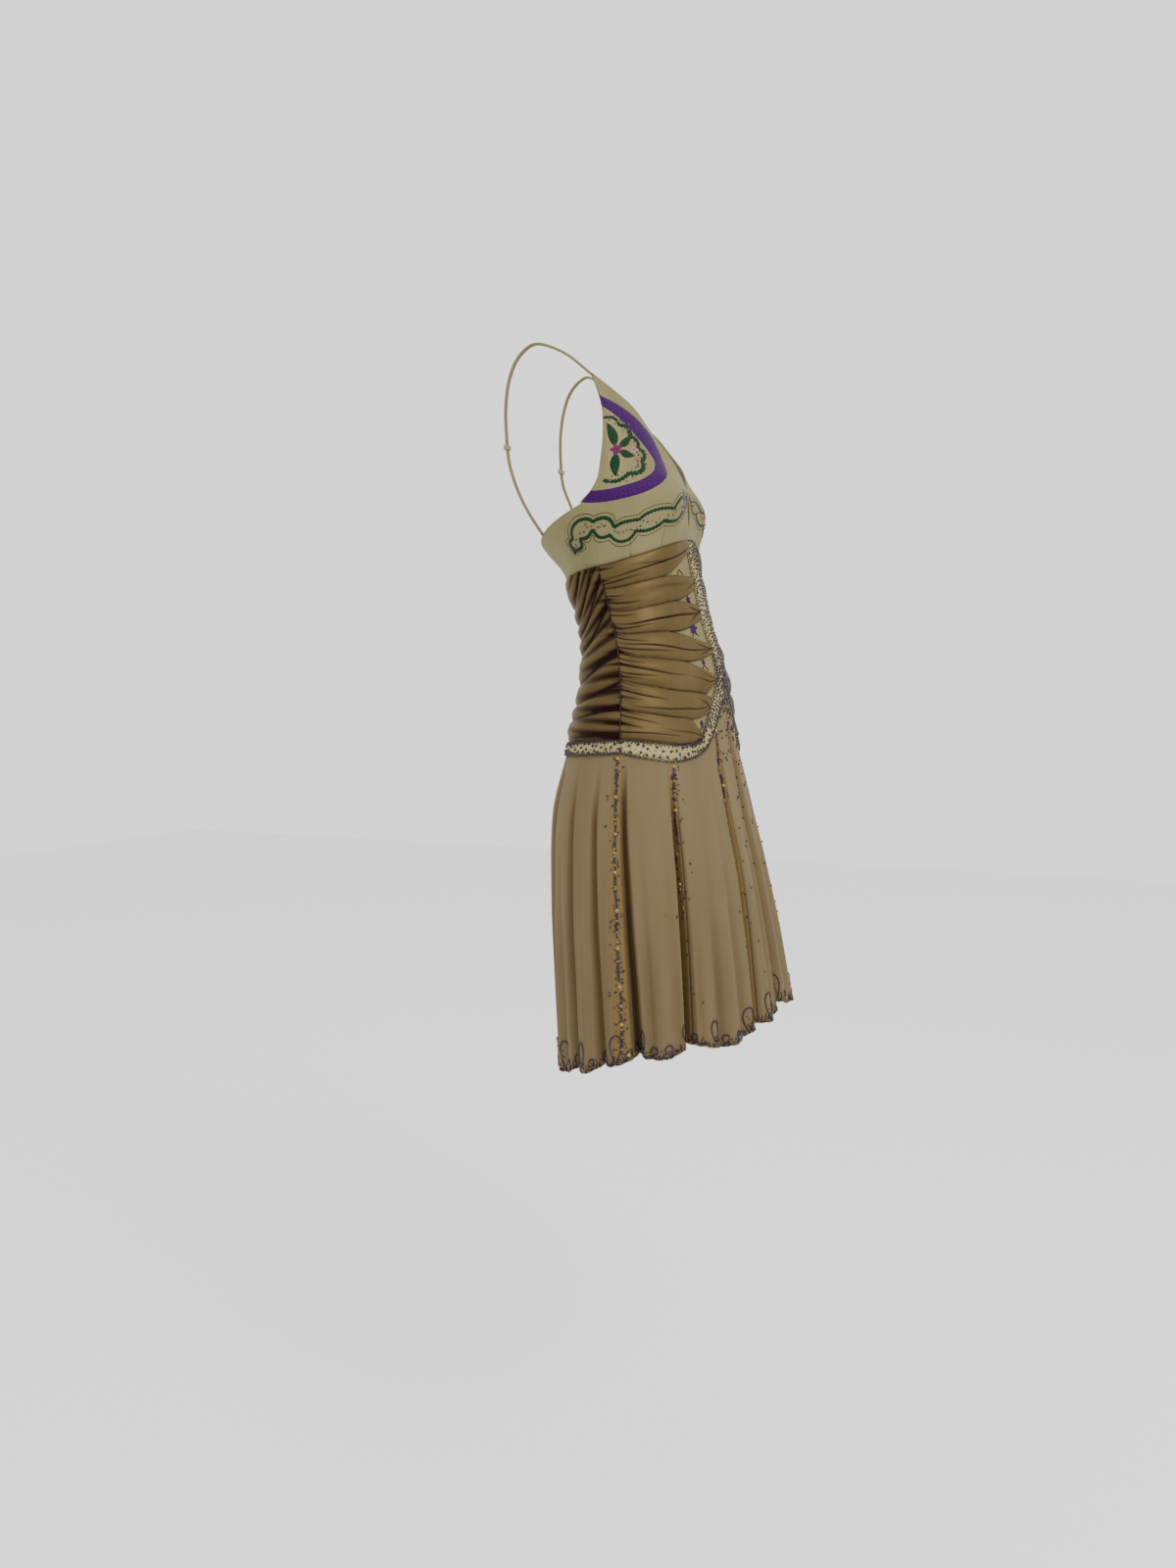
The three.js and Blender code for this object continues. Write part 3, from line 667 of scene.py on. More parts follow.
def sash_patch(u, v):
    """Angle and level of a place on the front sash: u from the side seam to the band, v down."""

    def across(v):
        level = mix(sash_top(float(SIDE_PHI)), HIP_TOP - SASH_GAP, v)
        seam = (side_seam(level), level)
        edge = (band["inner_phi"](BAND_SEAM * v) + BAND_GAP, band["inner_level"](BAND_SEAM * v))
        return [mix(a, b, u) for a, b in zip(seam, edge)]

    top_phi = mix(SIDE_PHI, band["inner_phi"](0.0) + BAND_GAP, u)
    along = mix(12, BAND_SEAM, u)
    top = (top_phi, sash_top(top_phi))
    bottom = (band["inner_phi"](along), band["inner_level"](along) - SASH_GAP)
    parts = zip(across(v), top, bottom, across(0.0), across(1.0))
    return tuple(place + mix(a, b, v) - mix(c, d, v) for place, a, b, c, d in parts)


def tuck_under(level, out, t):
    """Turns the lower edge in behind the band as t runs from 0 to 1."""
    return level + TUCK_DROP * t**3, mix(out, TUCK_OUT, smooth(t / 0.75))


def fold_edge(k, tip, u):
    """Height of a fold's upper edge. The sash's own upper and lower edges run straight to u = 0.7."""
    if k in (0, len(FOLDS)):
        return mix(k // len(FOLDS), tip, smooth((u - 0.7) / 0.3))
    side, parting, forward, _ = FOLDS[k]
    together = mix(side, parting, smooth(u / forward))
    apart = mix(parting, tip, np.clip((u - forward) / (1 - forward), 0, 1.1) ** 1.4)
    return np.where(u <= forward, together, apart)


def fold_edges(k, u):
    tip = FOLDS[k][3]
    return fold_edge(k, tip - TIP_HALF, u), fold_edge(k + 1, tip + TIP_HALF, u)


# %% [markdown]
# On top of the folds lie finer creases. Each one starts somewhere between the side seam and the band
# and runs towards the fold's point. Most are deepest in their middle. Those that start in a seam are
# deepest there. Beside the side seam the stitches pull the satin into many short puckers that fade out
# within a few centimetres.

# %% Sash creases
CREASES = [  # by fold: place at the side, place at the tip, from, to, depth, width
    [(0.1, 0, 0, 1.02, 1.2, 0.05), (-0.6, 0.15, 0.25, 1.02, 0.9, 0.06),
     (0.62, 0.3, 0, 0.42, 1.1, 0.06), (-0.6, -0.2, 0, 0.16, 0.9, 0.06)],
    [(0.35, 0.6, 0, 0.34, 1.3, 0.06), (-0.4, 0.2, 0, 0.2, 1, 0.06),
     (0.78, 0.5, 0, 0.24, 1, 0.05), (-0.15, -0.35, 0.4, 0.92, 0.35, 0.12),
     (2.6, 0, 0.8, 1.02, 0.8, 0.07)],
    [(0.15, 0.05, 0, 1.02, 1.6, 0.05), (-0.62, -0.1, 0, 0.26, 1, 0.06),
     (0.66, 0.2, 0, 0.4, 1.1, 0.06), (3.2, 0, 0.78, 1.02, 1.1, 0.06),
     (-3, 0, 0.8, 1.02, 1, 0.06)],
    [(-0.5, -0.1, 0, 0.3, 1.1, 0.06), (0.05, 0.1, 0, 1.02, 1.4, 0.05),
     (0.5, 0.2, 0, 0.52, 1.2, 0.06), (-2.8, 0, 0.76, 1.02, 1.1, 0.06),
     (3, 0.1, 0.78, 1.02, 1.1, 0.06), (0.82, 0.6, 0, 0.18, 0.9, 0.05)],
    [(-0.6, 0.1, 0, 0.24, 1.1, 0.06), (-0.15, 0.15, 0, 0.62, 1.3, 0.06),
     (0.4, 0.3, 0, 0.34, 1.1, 0.06), (0.3, 0, 0.62, 1.02, 1.2, 0.06),
     (-2.8, -0.1, 0.78, 1.02, 1.1, 0.06), (3.4, 0.2, 0.82, 1.02, 1, 0.06),
     (0.75, 0.5, 0, 0.2, 0.9, 0.05)],
    [(-0.35, 0.05, 0, 0.44, 1.2, 0.06), (0.2, 0.35, 0, 0.2, 1, 0.06),
     (0.75, 0.1, 0.1, 1.02, 1.3, 0.05), (-0.75, -0.5, 0, 0.16, 0.9, 0.05),
     (-2.6, 0, 0.72, 1.02, 1.1, 0.06), (3.6, 0.1, 0.84, 1.02, 1, 0.06)],
    [(-0.55, 0.1, 0, 0.4, 1.1, 0.06), (0, 0.3, 0, 0.22, 1, 0.06),
     (-0.2, 0, 0.38, 1.02, 1.4, 0.05), (0.5, 0.2, 0, 0.58, 1.2, 0.06),
     (2.8, 0.1, 0.76, 1.02, 1.1, 0.06), (-2.6, -0.1, 0.8, 1.02, 1, 0.06)],
]
FOLD_HALF = 14.0  # half the width of a common fold at the side seam
SASH_FALL = 215.0  # height of the sash there


def crease_at(k, q, u, half):
    """Depth in millimetres of the creases on a fold at (q, u), where its half width is known."""
    depth = np.zeros_like(u)
    for at_side, at_tip, start, end, deep, width in CREASES[k]:
        t = (u - start) / (end - start)
        along = np.where((t > 0) & (t < 1), np.sin(math.pi * np.clip(t, 0, 1)) ** 0.6, 0)
        if start == 0 and end < 1:
            along = np.where((t >= 0) & (t < 1), np.cos(np.clip(t, 0, 1) * math.pi / 2) ** 0.6, 0)
        if start > 0.2 and end > 1:
            along = np.where(t > 0, np.sin(np.clip(t, 0, 1) * math.pi / 2) ** 0.8, 0)
        centre = mix(at_side, at_tip, u) + 0.06 * np.sin(7 * u + 3 * k + 5 * at_side)
        aside = (q - centre) * half / (width * FOLD_HALF)
        depth = np.maximum(depth, deep * along * np.exp(-(aside**2)))
    return depth


def puckers(v, u):
    """Short gathers beside a seam that lies at u = 0."""
    reach = 0.04 + 0.07 * np.sin(23 * v + 1.3) ** 2
    fine = np.sin(2 * math.pi * (25 * v + 0.9 * np.sin(9 * v))) * np.exp(-u / reach)
    coarse = np.sin(2 * math.pi * (11 * v + 0.8 * np.sin(7 * v + 1))) * np.exp(-u / (2.2 * reach))
    return 0.6 * fine + 0.75 * coarse


def sash_front_shape(hand, k):
    def shape(u, v):
        q = 2 * v - 1
        upper, lower = fold_edges(k, u)
        place = mix(upper, lower, v)
        phi, level = sash_patch(u, place)
        gathered = 1 - 0.45 * smooth(1 - u / 0.12) - 0.45 * smooth((u - 0.9) / 0.1)
        swell = np.maximum(0, 1 - np.abs(q) ** 3.2) ** 0.8 * (1 + 0.16 * q)
        half = np.maximum((lower - upper) / 2 * SASH_FALL, 2.5)
        crease = crease_at(k, q, u, half)
        ripple = puckers(place, u)
        roll = 0.55 * np.sin(2.6 * q + 7.5 * u + 1.9 * k) * (1 - q**2)
        height = gathered * (SWELL * swell + roll - crease) + ripple * (1 - q**6)
        # Painted shade: dark in the creases, in thin lines along each fold's edges where it parts from
        # its neighbour, and in the troughs of the puckers.
        parted = 0.72 + 0.28 * np.sin(6 * u + 2.3 * k)
        edge = parted * np.exp(-(((1 - np.abs(q)) / 0.055) ** 2)) * (u < 0.93)
        shade = np.clip(crease / 0.95 + 0.95 * edge + np.clip(-ripple - 0.15, 0, 1) * 1.2, 0, 1)
        out = SASH_OUT + height
        if k == len(FOLDS) - 1:
            tuck = np.clip((v - 0.9) / 0.1, 0, 1) * (1 - smooth((u - 0.5) / 0.07))
            level, out = tuck_under(level, out, tuck)
        return on_figure(hand * phi, level, out), shade

    return shape


# %% Front sash


def join(objects, name):
    """Joins objects into the first one, under a new name."""
    if len(objects) > 1:
        with bpy.context.temp_override(active_object=objects[0], selected_editable_objects=objects):
            bpy.ops.object.join()
    objects[0].name = objects[0].data.name = name
    return objects[0]


def weld(mesh, distance, close=False):
    """Merges points that lie on each other, and closes open ends if asked to."""
    bm = bmesh.new()
    bm.from_mesh(mesh)
    bmesh.ops.remove_doubles(bm, verts=bm.verts, dist=distance)
    if close:
        rims = [edge for edge in bm.edges if edge.is_boundary]
        bmesh.ops.holes_fill(bm, edges=rims, sides=40)
        bmesh.ops.recalc_face_normals(bm, faces=bm.faces)
    bm.to_mesh(mesh)
    bm.free()


for side, hand in SIDES:
    folds = []
    for k in range(len(FOLDS)):
        fold = grid_object(f"fold_{k}_{side}", 64, 40, sash_front_shape(hand, k), uv_from=0.045 * k)
        face_outwards(fold, hand * 50, 390)
        folds.append(fold)
    sash = join(folds, f"sash_front_{side}_cloth")
    weld(sash.data, 0.00005)
    finish_cloth(sash, f"sash_front_{side}", *BRONZE)

# %% [markdown]
# The back of the sash is one panel. Its folds climb towards the side seam and run level across the
# middle of the back.

# %% Back sash
SWAG, SWAG_END = 0.33, 0.6  # how far the folds climb, and where they begin to run level
BACK_FOLDS, FINE_FOLDS = 5.4, 11


def sash_back_shape(hand):
    def shape(u, v):
        top = sash_top(mix(SIDE_PHI, BACK_PHI, u))
        level = mix(top, HIP_TOP - SASH_GAP, v)
        phi = mix(side_seam(level), BACK_PHI, u)
        swag = SWAG * np.sin((math.pi / 2) * np.minimum(1, u / SWAG_END))
        place = (v - swag) / (1 - swag)
        wave = BACK_FOLDS * (place + 0.05 * np.sin(8 * place))
        ridge = np.abs(np.cos(math.pi * wave)) ** 0.7
        crossing = np.exp(-((np.cos(math.pi * wave) / 0.2) ** 2))
        hollow = np.exp(-((np.cos(math.pi * wave) / 0.55) ** 2))
        second = np.sin(2 * math.pi * (FINE_FOLDS * place + 2.2 * u + 0.4 * np.sin(6 * place)))
        fine = 0.9 * np.clip(second - 0.5, -1.5, 0) / 1.5 * smooth((0.95 - u) / 0.5)
        gathered = 1 - 0.4 * smooth(1 - u / 0.1) - 0.4 * smooth((u - 0.9) / 0.1)
        ripple = puckers(v, u)
        height = gathered * BACK_SWELL * ridge + fine + ripple
        # Painted shade: a little over the whole back, more where the folds cross and in their hollows,
        # and in the troughs of the fine folds and puckers.
        shade = 0.1 + 0.7 * crossing + 0.42 * hollow
        shade = shade - 0.9 * np.minimum(fine, 0) - 1.2 * np.minimum(ripple + 0.15, 0)
        level, out = tuck_under(level, SASH_OUT + height, np.clip((v - 0.98) / 0.02, 0, 1))
        return on_figure(hand * phi, level, out), np.clip(shade, 0, 1)

    return shape


for side, hand in SIDES:
    cloth_panel(f"sash_back_{side}", 90, 150, sash_back_shape(hand), (hand * 140, 390), BRONZE)

# %% [markdown]
# ## The band
# A narrow strip of pale silk runs down the centre front and round the hip. Its beads come later.

# %% Band panels
BAND_OUT = 3.3


def band_surface(part, hand):
    """The band's outer face, a little swollen: u along it, v from the skirt to the sash."""

    def surface(u, v):
        if part == "front":
            along = 12 * u
            phi = mix(band["outer_phi"](along), band["inner_phi"](along), v)
            level = mix(band["outer_level"](along), band["inner_level"](along), v)
        else:
            level = mix(HIP_BOTTOM, HIP_TOP, v)
            phi = mix(side_seam(level), BACK_PHI, u)
        return on_figure(hand * phi, level, BAND_OUT - 0.4 + 0.5 * np.sin(math.pi * v))

    return surface


BAND_GRIDS = {"front": (150, 8, 60, 515), "back": (80, 6, 140, 510)}  # columns, rows, angle, level
for side, hand in SIDES:
    for part, (columns, rows, phi, level) in BAND_GRIDS.items():
        shape = band_surface(part, hand)
        cloth_panel(f"band_{part}_{side}", columns, rows, shape, (hand * phi, level), BAND_SILK)

# %% [markdown]
# ## The straps
# Each strap is a narrow turned tube of satin, pressed flat. Its path rises from the cup, goes over the
# shoulder and drops to the back edge. A grid is wrapped round that path and welded into a tube.

# %% Strap path
STRAP_PATH = [
    (-85, 0, 0.9),
    (-85.5, 14, -4),
    (-86, 28, -18),
    (-86.5, 38, -42),
    (-86, 43, -74),
    (-85, 43, -106),
    (-84.5, 39, -146),
    (-86.5, 25, -184),
]
STRAP_WIDTH, STRAP_THICK = 6.2 * MM, 3.4 * MM


def strap_points(hand):
    phi, level = cup_place(np.float64(0.5), np.float64(1.0))
    front = on_figure(hand * phi, level, PANEL_OUT - 0.7) + np.array([0, 0.5, 0.9]) * MM
    back = on_figure(hand * 142.0, back_edge(142.0) - 1, PANEL_OUT - 0.7)
    middle = np.array(STRAP_PATH) * MM * np.array([hand, 1, 1])
    rise = mix(front, middle[0], 0.55) + np.array([0, -2, 7]) * MM
    lead = mix(back, middle[-1], 0.5) + np.array([0, 2, 0]) * MM
    return np.vstack([front, rise, middle, lead, back])


def smooth_path(points, steps):
    """A centripetal Catmull-Rom curve through the points, at equal steps of length."""
    ends = np.vstack([2 * points[0] - points[1], points, 2 * points[-1] - points[-2]])
    dense = []
    for a, b, c, d in zip(ends, ends[1:], ends[2:], ends[3:]):
        near, own, far = (max(np.linalg.norm(q - p) ** 0.5, 1e-6) for p, q in ((a, b), (b, c), (c, d)))
        start = ((b - a) / near - (c - a) / (near + own) + (c - b) / own) * own
        end = ((c - b) / own - (d - b) / (own + far) + (d - c) / far) * own
        t = np.linspace(0, 1, 40, endpoint=False)[:, None]
        dense.append(
            b * (2 * t**3 - 3 * t**2 + 1) + start * (t**3 - 2 * t**2 + t)
            + c * (3 * t**2 - 2 * t**3) + end * (t**3 - t**2)
        )
    dense = np.vstack([*dense, points[-1:]])
    run = run_along(dense)
    at = np.linspace(0, run[-1], steps)
    return np.stack([np.interp(at, run, column) for column in dense.T], 1), run[-1]


def strap(side, hand):
    path, length = smooth_path(strap_points(hand), 160)
    along = unit(np.gradient(path, axis=0))
    across = unit(np.array([1.0, 0, 0]) - along * along[:, :1])
    out = np.cross(across, along)

    def shape(u, v):
        at = u * (len(path) - 1)
        i = np.clip(at.astype(int), 0, len(path) - 2)
        t = (at - i)[..., None]
        place, side_way, out_way = (mix(a[i], a[i + 1], t) for a in (path, across, out))
        turn = 2 * math.pi * v
        wide, thick = np.cos(turn), np.sin(turn)
        wide = np.sign(wide) * np.abs(wide) ** 0.6 * STRAP_WIDTH / 2
        thick = np.sign(thick) * np.abs(thick) ** 0.7 * STRAP_THICK / 2
        return place + side_way * wide[..., None] + out_way * thick[..., None]

    obj = grid_object(f"strap_{side}_cloth", 150, 16, shape)
    weld(obj.data, 0.00002, close=True)
    obj.data.materials.append(pale_satin)
    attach(obj, "root")
    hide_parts(f"strap_{side}")
    print(obj.name, f"{length:.3f} m long")


for side, hand in SIDES:
    strap(side, hand)

# %% [markdown]
# The slides are small plain rings that the solids already show in full, so they only get a finish.

# %% Slides
slide_finish, _ = new_finish("slide", (0.22, 0.17, 0.08), 0.3)
for side, hand in SIDES:
    slide = bpy.data.objects[f"strap_slide_{side}"]
    slide.data.materials.clear()
    slide.data.materials.append(slide_finish)
    print(slide.name, tuple(round(x, 3) for x in slide.dimensions))

# %% [markdown]
# ## Sewing on small things
# A bead is made once, as a ball of twenty faces, and a sequin once, as a thin dish with eight sides.
# Each is then repeated at every place where the needle came through. Hundreds of them make one mesh,
# so the scene stays light, and a few faces are enough at two millimetres across.

# %% Bead finishes and shapes
def bead_finish(name, colour, metallic=0.0, roughness=0.3):
    more = {"Specular IOR Level": 0.3, "Metallic": metallic}
    return new_finish(name, colour, roughness, more)[0]


BEADS = {
    "dark": bead_finish("dark_bead", (0.016, 0.011, 0.02)),
    "gold": bead_finish("gold_bead", (0.20, 0.135, 0.05), 0.5, 0.35),
    "purple": bead_finish("purple_bead", (0.04, 0.008, 0.06)),
    "teal": bead_finish("teal_bead", (0.01, 0.045, 0.045)),
    "magenta": bead_finish("magenta_bead", (0.30, 0.03, 0.16)),
    "pale": bead_finish("pale_bead", (0.28, 0.20, 0.06), 0.3, 0.25),
}
BEAD_ORDER = list(BEADS)


def small_shape(kind):
    bm = bmesh.new()
    if kind == "ball":
        bmesh.ops.create_icosphere(bm, subdivisions=1, radius=0.5)
    else:
        bmesh.ops.create_cone(bm, cap_ends=True, segments=8, radius1=0.5, radius2=0.3, depth=0.2)
        bmesh.ops.translate(bm, vec=(0, 0, 0.1), verts=bm.verts)
    places = np.array([v.co[:] for v in bm.verts])
    faces = [[v.index for v in f.verts] for f in bm.faces]
    bm.free()
    return places, faces


INSIDE = np.array([0, -0.13, 0])  # a point on the axis of the dress


def normals_of(surface, a, b, step_a, step_b):
    """Outward directions of a surface at (a, b)."""
    across = surface(a + step_a, b) - surface(a - step_a, b)
    along = surface(a, b + step_b) - surface(a, b - step_b)
    normal = unit(np.cross(across, along))
    away = surface(a, b) - INSIDE
    away[..., 2] = 0
    return normal * (1 if np.median((normal * away).sum(-1)) > 0 else -1)


def sew_on(name, kind, surface, a, b, steps, sizes, colours, lift=0.3):
    """One mesh of many small things on a surface at (a, b), each with its own size (mm) and colour."""
    normals = normals_of(surface, a, b, *steps)
    places = surface(a, b) + normals * lift * MM
    shape, faces = small_shape(kind)
    helper = np.where(np.abs(normals[:, 2:]) < 0.9, [[0, 0, 1.0]], [[0, 1.0, 0]])
    side = unit(np.cross(helper, normals))
    turned = np.stack([side, np.cross(normals, side), normals], 1)
    verts = places[:, None] + np.einsum("nk,bkc->bnc", shape, turned) * (sizes * MM)[:, None, None]
    count = len(shape)
    all_faces = [[i + count * k for i in face] for k in range(len(places)) for face in faces]
    mesh = bpy.data.meshes.new(name)
    mesh.from_pydata(verts.reshape(-1, 3).tolist(), [], all_faces)
    used = sorted(set(colours), key=BEAD_ORDER.index)
    for colour in used:
        mesh.materials.append(BEADS[colour])
    slots = np.repeat([used.index(colour) for colour in colours], len(faces))
    mesh.polygons.foreach_set("material_index", slots)
    mesh.polygons.foreach_set("use_smooth", [kind == "ball"] * len(mesh.polygons))
    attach(add_object(name, mesh), "root")
    print(name, len(places), "sewn on")


# %% [markdown]
# ## Beads on the band
# Dark seed beads run close together along both edges. Between them dark and golden ones are strewn,
# crowded at the top of the centre front and thinner further down. Strewn beads keep a least distance,
# because two beads can't share a place.

# %% Strewing beads
rng = np.random.default_rng(7)


def pick(count, **shares):
    """Random bead colours in the given shares."""
    return list(rng.choice(list(shares), count, p=list(shares.values())))


def strewn(width, length, apart, tries=9):
    """Random places on a width by length cloth (mm), none closer together than apart."""
    cell = apart / 1.42  # so small that a cell holds one place at most
    grid = {}
    kept = []
    for _ in range(int(tries * width * length / apart**2)):
        p = rng.uniform((0, 0), (width, length))
        key = (int(p[0] // cell), int(p[1] // cell))
        near = [grid.get((key[0] + i, key[1] + j)) for i in range(-2, 3) for j in range(-2, 3)]
        if all(q is None or (q[0] - p[0]) ** 2 + (q[1] - p[1]) ** 2 >= apart**2 for q in near):
            grid[key] = p
            kept.append(p)
    return np.array(kept)


# %% Band beads
BAND_WIDTH = 16.5
EDGE_ROWS = ((0.05, 2.5, 2.6), (0.95, 2.5, 2.6), (0.18, 5.2, 2.0), (0.83, 4.8, 2.0))  # place, gap, size
CROWDED = {"front": 240, "back": 0}  # millimetres from the top with crowded beads


def band_beads(name, surface, length, crowded):
    """Two dark rows on each edge of a band and strewn beads between them."""
    rows = []
    for at, gap, size in EDGE_ROWS:
        along = np.arange(0.8, length - 0.5, gap)
        wave = at + 0.02 * np.sin(along * 0.9)
        rows.append(np.stack([along, wave * BAND_WIDTH, np.full_like(along, size), 0 * along], 1))
    for begin, stop, apart, shares, small, large in (
        (0, crowded, 3.1, (0.94, 0.02, 0.04), 3.0, 3.4),
        (crowded, length, 6.4, (1, 0, 0), 3.5, 4.2),
        (crowded, length, 5.0, (0.35, 0.65, 0), 1.6, 2.0),
    ):
        if stop > begin:
            spots = strewn(stop - begin, BAND_WIDTH * 0.66, apart) + (begin, BAND_WIDTH * 0.17)
            kinds = rng.choice([0, 1, 2], len(spots), p=shares)
            rows.append(np.column_stack([spots, rng.uniform(small, large, len(spots)), kinds]))
    beads = np.vstack(rows)
    colours = [("dark", "gold", "purple")[int(kind)] for kind in beads[:, 3]]
    u, v = beads[:, 0] / length, (beads[:, 1] / BAND_WIDTH).clip(0.03, 0.97)
    sew_on(name, "ball", surface, u, v, (0.002, 0.02), beads[:, 2], colours)


for side, hand in SIDES:
    for part, crowded in CROWDED.items():
        surface = band_surface(part, hand)
        length = gaps(surface(np.linspace(0, 1, 200), np.full(200, 0.5))).sum() / MM
        band_beads(f"band_beads_{part}_{side}", surface, length, crowded)

# %% [markdown]
# ## Sequins on the inset strips
# Each narrow strip carries a crooked line of sequins with small beads on both sides. The strips at the
# sides are full down to the hem. The others lie deep in their pleats below the hip, so they are only
# sewn on thinly there.

# %% Strip sequins
SEAM_HEMS, SEAM_TOPS = zip(*sorted({(max(0, hem), max(0, top)) for top, hem in SEAMS.values()}))
SKIRT_STEPS = (0.15, 0.003)  # in angle and share of the fall, for finding the way out of the cloth
STRIP_FALL, BIG_SEQUIN = 380, 4.8
STRIPS = {  # angle at the hem, gap, down to, thin from, every how many a big one
    "side": (87.6, 2.6, 0.97, 1.0, 9),
    "mid": (55.4, 2.6, 0.55, 0.26, 11),
    "front": (20.6, 2.8, 0.75, 0.32, 12),
}


def skirt_at(hem_phi, down, lift=0.6):
    """A point on the skirt's outer face, on the thread line that meets the hem at angle hem_phi."""
    top_phi = np.sign(hem_phi) * np.interp(np.abs(hem_phi), SEAM_HEMS, SEAM_TOPS)
    return skirt_point(top_phi, hem_phi, down, lift)[0]


def sequins_down(name, hand, middle, gap, reach, thin_from, big_every):
    """Sequins down a strip, and loose beads beside them."""
    down = np.arange(0.015, reach, gap / STRIP_FALL)
    keep = (down < thin_from) | (rng.random(len(down)) < 0.35)
    down = down[keep] + rng.uniform(-0.002, 0.002, keep.sum())
    wander = 0.5 * np.sin(down * 21) + 0.35 * np.sin(down * 47 + middle)
    line = np.stack([middle + wander * 0.5, down], 1)
    many = int(1.5 * len(down))
    loose = np.stack([middle + rng.normal(0, 1.6, many), rng.uniform(0.01, reach, many)], 1)
    loose = loose[(loose[:, 1] < thin_from) | (rng.random(many) < 0.3)]
    spots = np.vstack([line, loose])
    sizes = np.concatenate([rng.uniform(2.6, 3.6, len(line)), rng.uniform(1.6, 2.4, len(loose))])
    sizes[: len(line) : big_every] = BIG_SEQUIN
    colours = pick(len(line), dark=0.66, purple=0.1, gold=0.18, teal=0.06)
    colours[:: 2 * big_every] = ["pale"] * len(colours[:: 2 * big_every])
    colours += pick(len(loose), dark=0.6, gold=0.3, purple=0.1)
    sew_on(name, "disc", skirt_at, hand * spots[:, 0], spots[:, 1], SKIRT_STEPS, sizes, colours, 0.2)


for side, hand in SIDES:
    for part, row in STRIPS.items():
        sequins_down(f"sequins_{part}_{side}", hand, *row)

# %% [markdown]
# A few beads have strayed onto the plain chiffon, most of them near the point of the band at the
# centre front.

# %% Stray beads
AT_CENTRE, AT_STRIP = 110, 26  # how many there are near the point of the band and near each strip

spots = [np.stack([rng.normal(0, 7.5, AT_CENTRE), 0.012 + rng.exponential(0.13, AT_CENTRE)], 1)]
for side, hand in SIDES:
    for middle in sorted(row[0] for row in STRIPS.values()):
        phi = hand * (middle + rng.normal(0, 3.4, AT_STRIP))
        spots.append(np.stack([phi, rng.uniform(0.02, 0.9, AT_STRIP)], 1))
spots = np.vstack(spots)
spots = spots[spots[:, 1] < 0.95]
sizes = rng.uniform(2.2, 3.0, len(spots))
colours = pick(len(spots), dark=0.75, purple=0.1, gold=0.15)
sew_on("stray_beads", "ball", skirt_at, *spots.T, SKIRT_STEPS, sizes, colours)

# %% [markdown]
# ## The beaded hem
# The hem is edged with a crowded strip of small beads. Loops of beads stand on it, a large
# drop-shaped one between every few small rings, with a coloured stone at the foot of some.

# %% Hem edging
SKIRT_FALL = 395.0
HEM_STEPS = (0.1, 0.5)  # degrees and millimetres
HEM_ROWS = [  # up from the edge, gap, size
    (0.3, 1.9, 2.3), (2.1, 2.3, 2.1), (4.0, 2.7, 2.0), (6.0, 3.4, 2.0), (8.4, 5.0, 1.9), (11, 9.0, 1.9),
]


def hem_steps(gap):
    """Angles along the hem that are gap millimetres apart on the cloth, and the hem's length."""
    fine = np.linspace(-180, 180, 7201)
    run = run_along(skirt_at(fine, np.ones_like(fine)))
    return np.interp(np.arange(0, run[-1] / MM, gap) * MM, run, fine), run[-1] / MM


def hem_surface(phi, up):
    """The skirt near the hem: angle, and millimetres up from the edge."""
    return skirt_at(phi, 1 - up / SKIRT_FALL)


rows = []
for up, gap, size in HEM_ROWS:
    phi, _ = hem_steps(gap)
    high = up + rng.uniform(-0.6, 0.6, len(phi)) * (up > 1)
    high = high + 0.8 * np.sin(np.arange(len(phi)) * gap * 0.42)
    rows.append(np.stack([phi, high.clip(0.2, 12), np.full_like(phi, size)], 1))
phi, up, sizes = np.vstack(rows).T
colours = pick(len(phi), dark=0.5, gold=0.42, purple=0.08)
sew_on("hem_edging", "ball", hem_surface, phi, up, HEM_STEPS, sizes, colours)

# %% Hem loops
LOOP_BEAD, INNER_BEAD, STONE = 1.9, 1.8, 5.0
HEM_MARGIN = (12, 14)  # no loop starts nearer to the ends of the round
LOOP_STEP = {True: 29, False: 19}  # from a big loop to the next one, and from a small one


def hem_loops():
    hem_phi, length = hem_steps(1.0)
    rows, stones = [], []
    at, k = HEM_MARGIN[0], 0
    while at < length - HEM_MARGIN[1]:
        big = k % 3 == 0
        wide, high = ((15, 18), (31, 36)) if big else ((8, 10), (11, 15))
        width, height = rng.uniform(*wide), rng.uniform(*high)
        turn = np.linspace(0, 2 * math.pi, int((width + height) * 1.75 / 1.7))[:-1]
        x = width / 2 * np.sin(turn) * np.sin(turn / 2) * 1.25 + rng.uniform(-1, 1)
        y = 3 + height / 2 * (1 - np.cos(turn))
        rows.append(np.stack([at + x, y, np.full_like(x, LOOP_BEAD)], 1))
        if big:
            inner = rng.integers(3, 6)
            x, y = rng.uniform(-3, 3, inner), rng.uniform(10, 26, inner)
            rows.append(np.stack([at + x, y, np.full(inner, INNER_BEAD)], 1))
        if k % 2 == 0:
            stones.append((at + rng.uniform(-2, 2), rng.uniform(5, 8), STONE))
        at += LOOP_STEP[big] + rng.uniform(-2, 3)
        k += 1
    beads, stones = np.vstack(rows), np.array(stones)
    colours = pick(len(beads), dark=0.8, purple=0.2)
    stone_colours = list(rng.choice(["pale", "teal", "dark", "purple"], len(stones)))
    for name, kind, (along, up, sizes), picked in (
        ("hem_loops", "ball", beads.T, colours),
        ("hem_stones", "disc", stones.T, stone_colours),
    ):
        phi = np.interp(along, np.arange(len(hem_phi)), hem_phi)
        sew_on(name, kind, hem_surface, phi, up, HEM_STEPS, sizes, picked)


hem_loops()

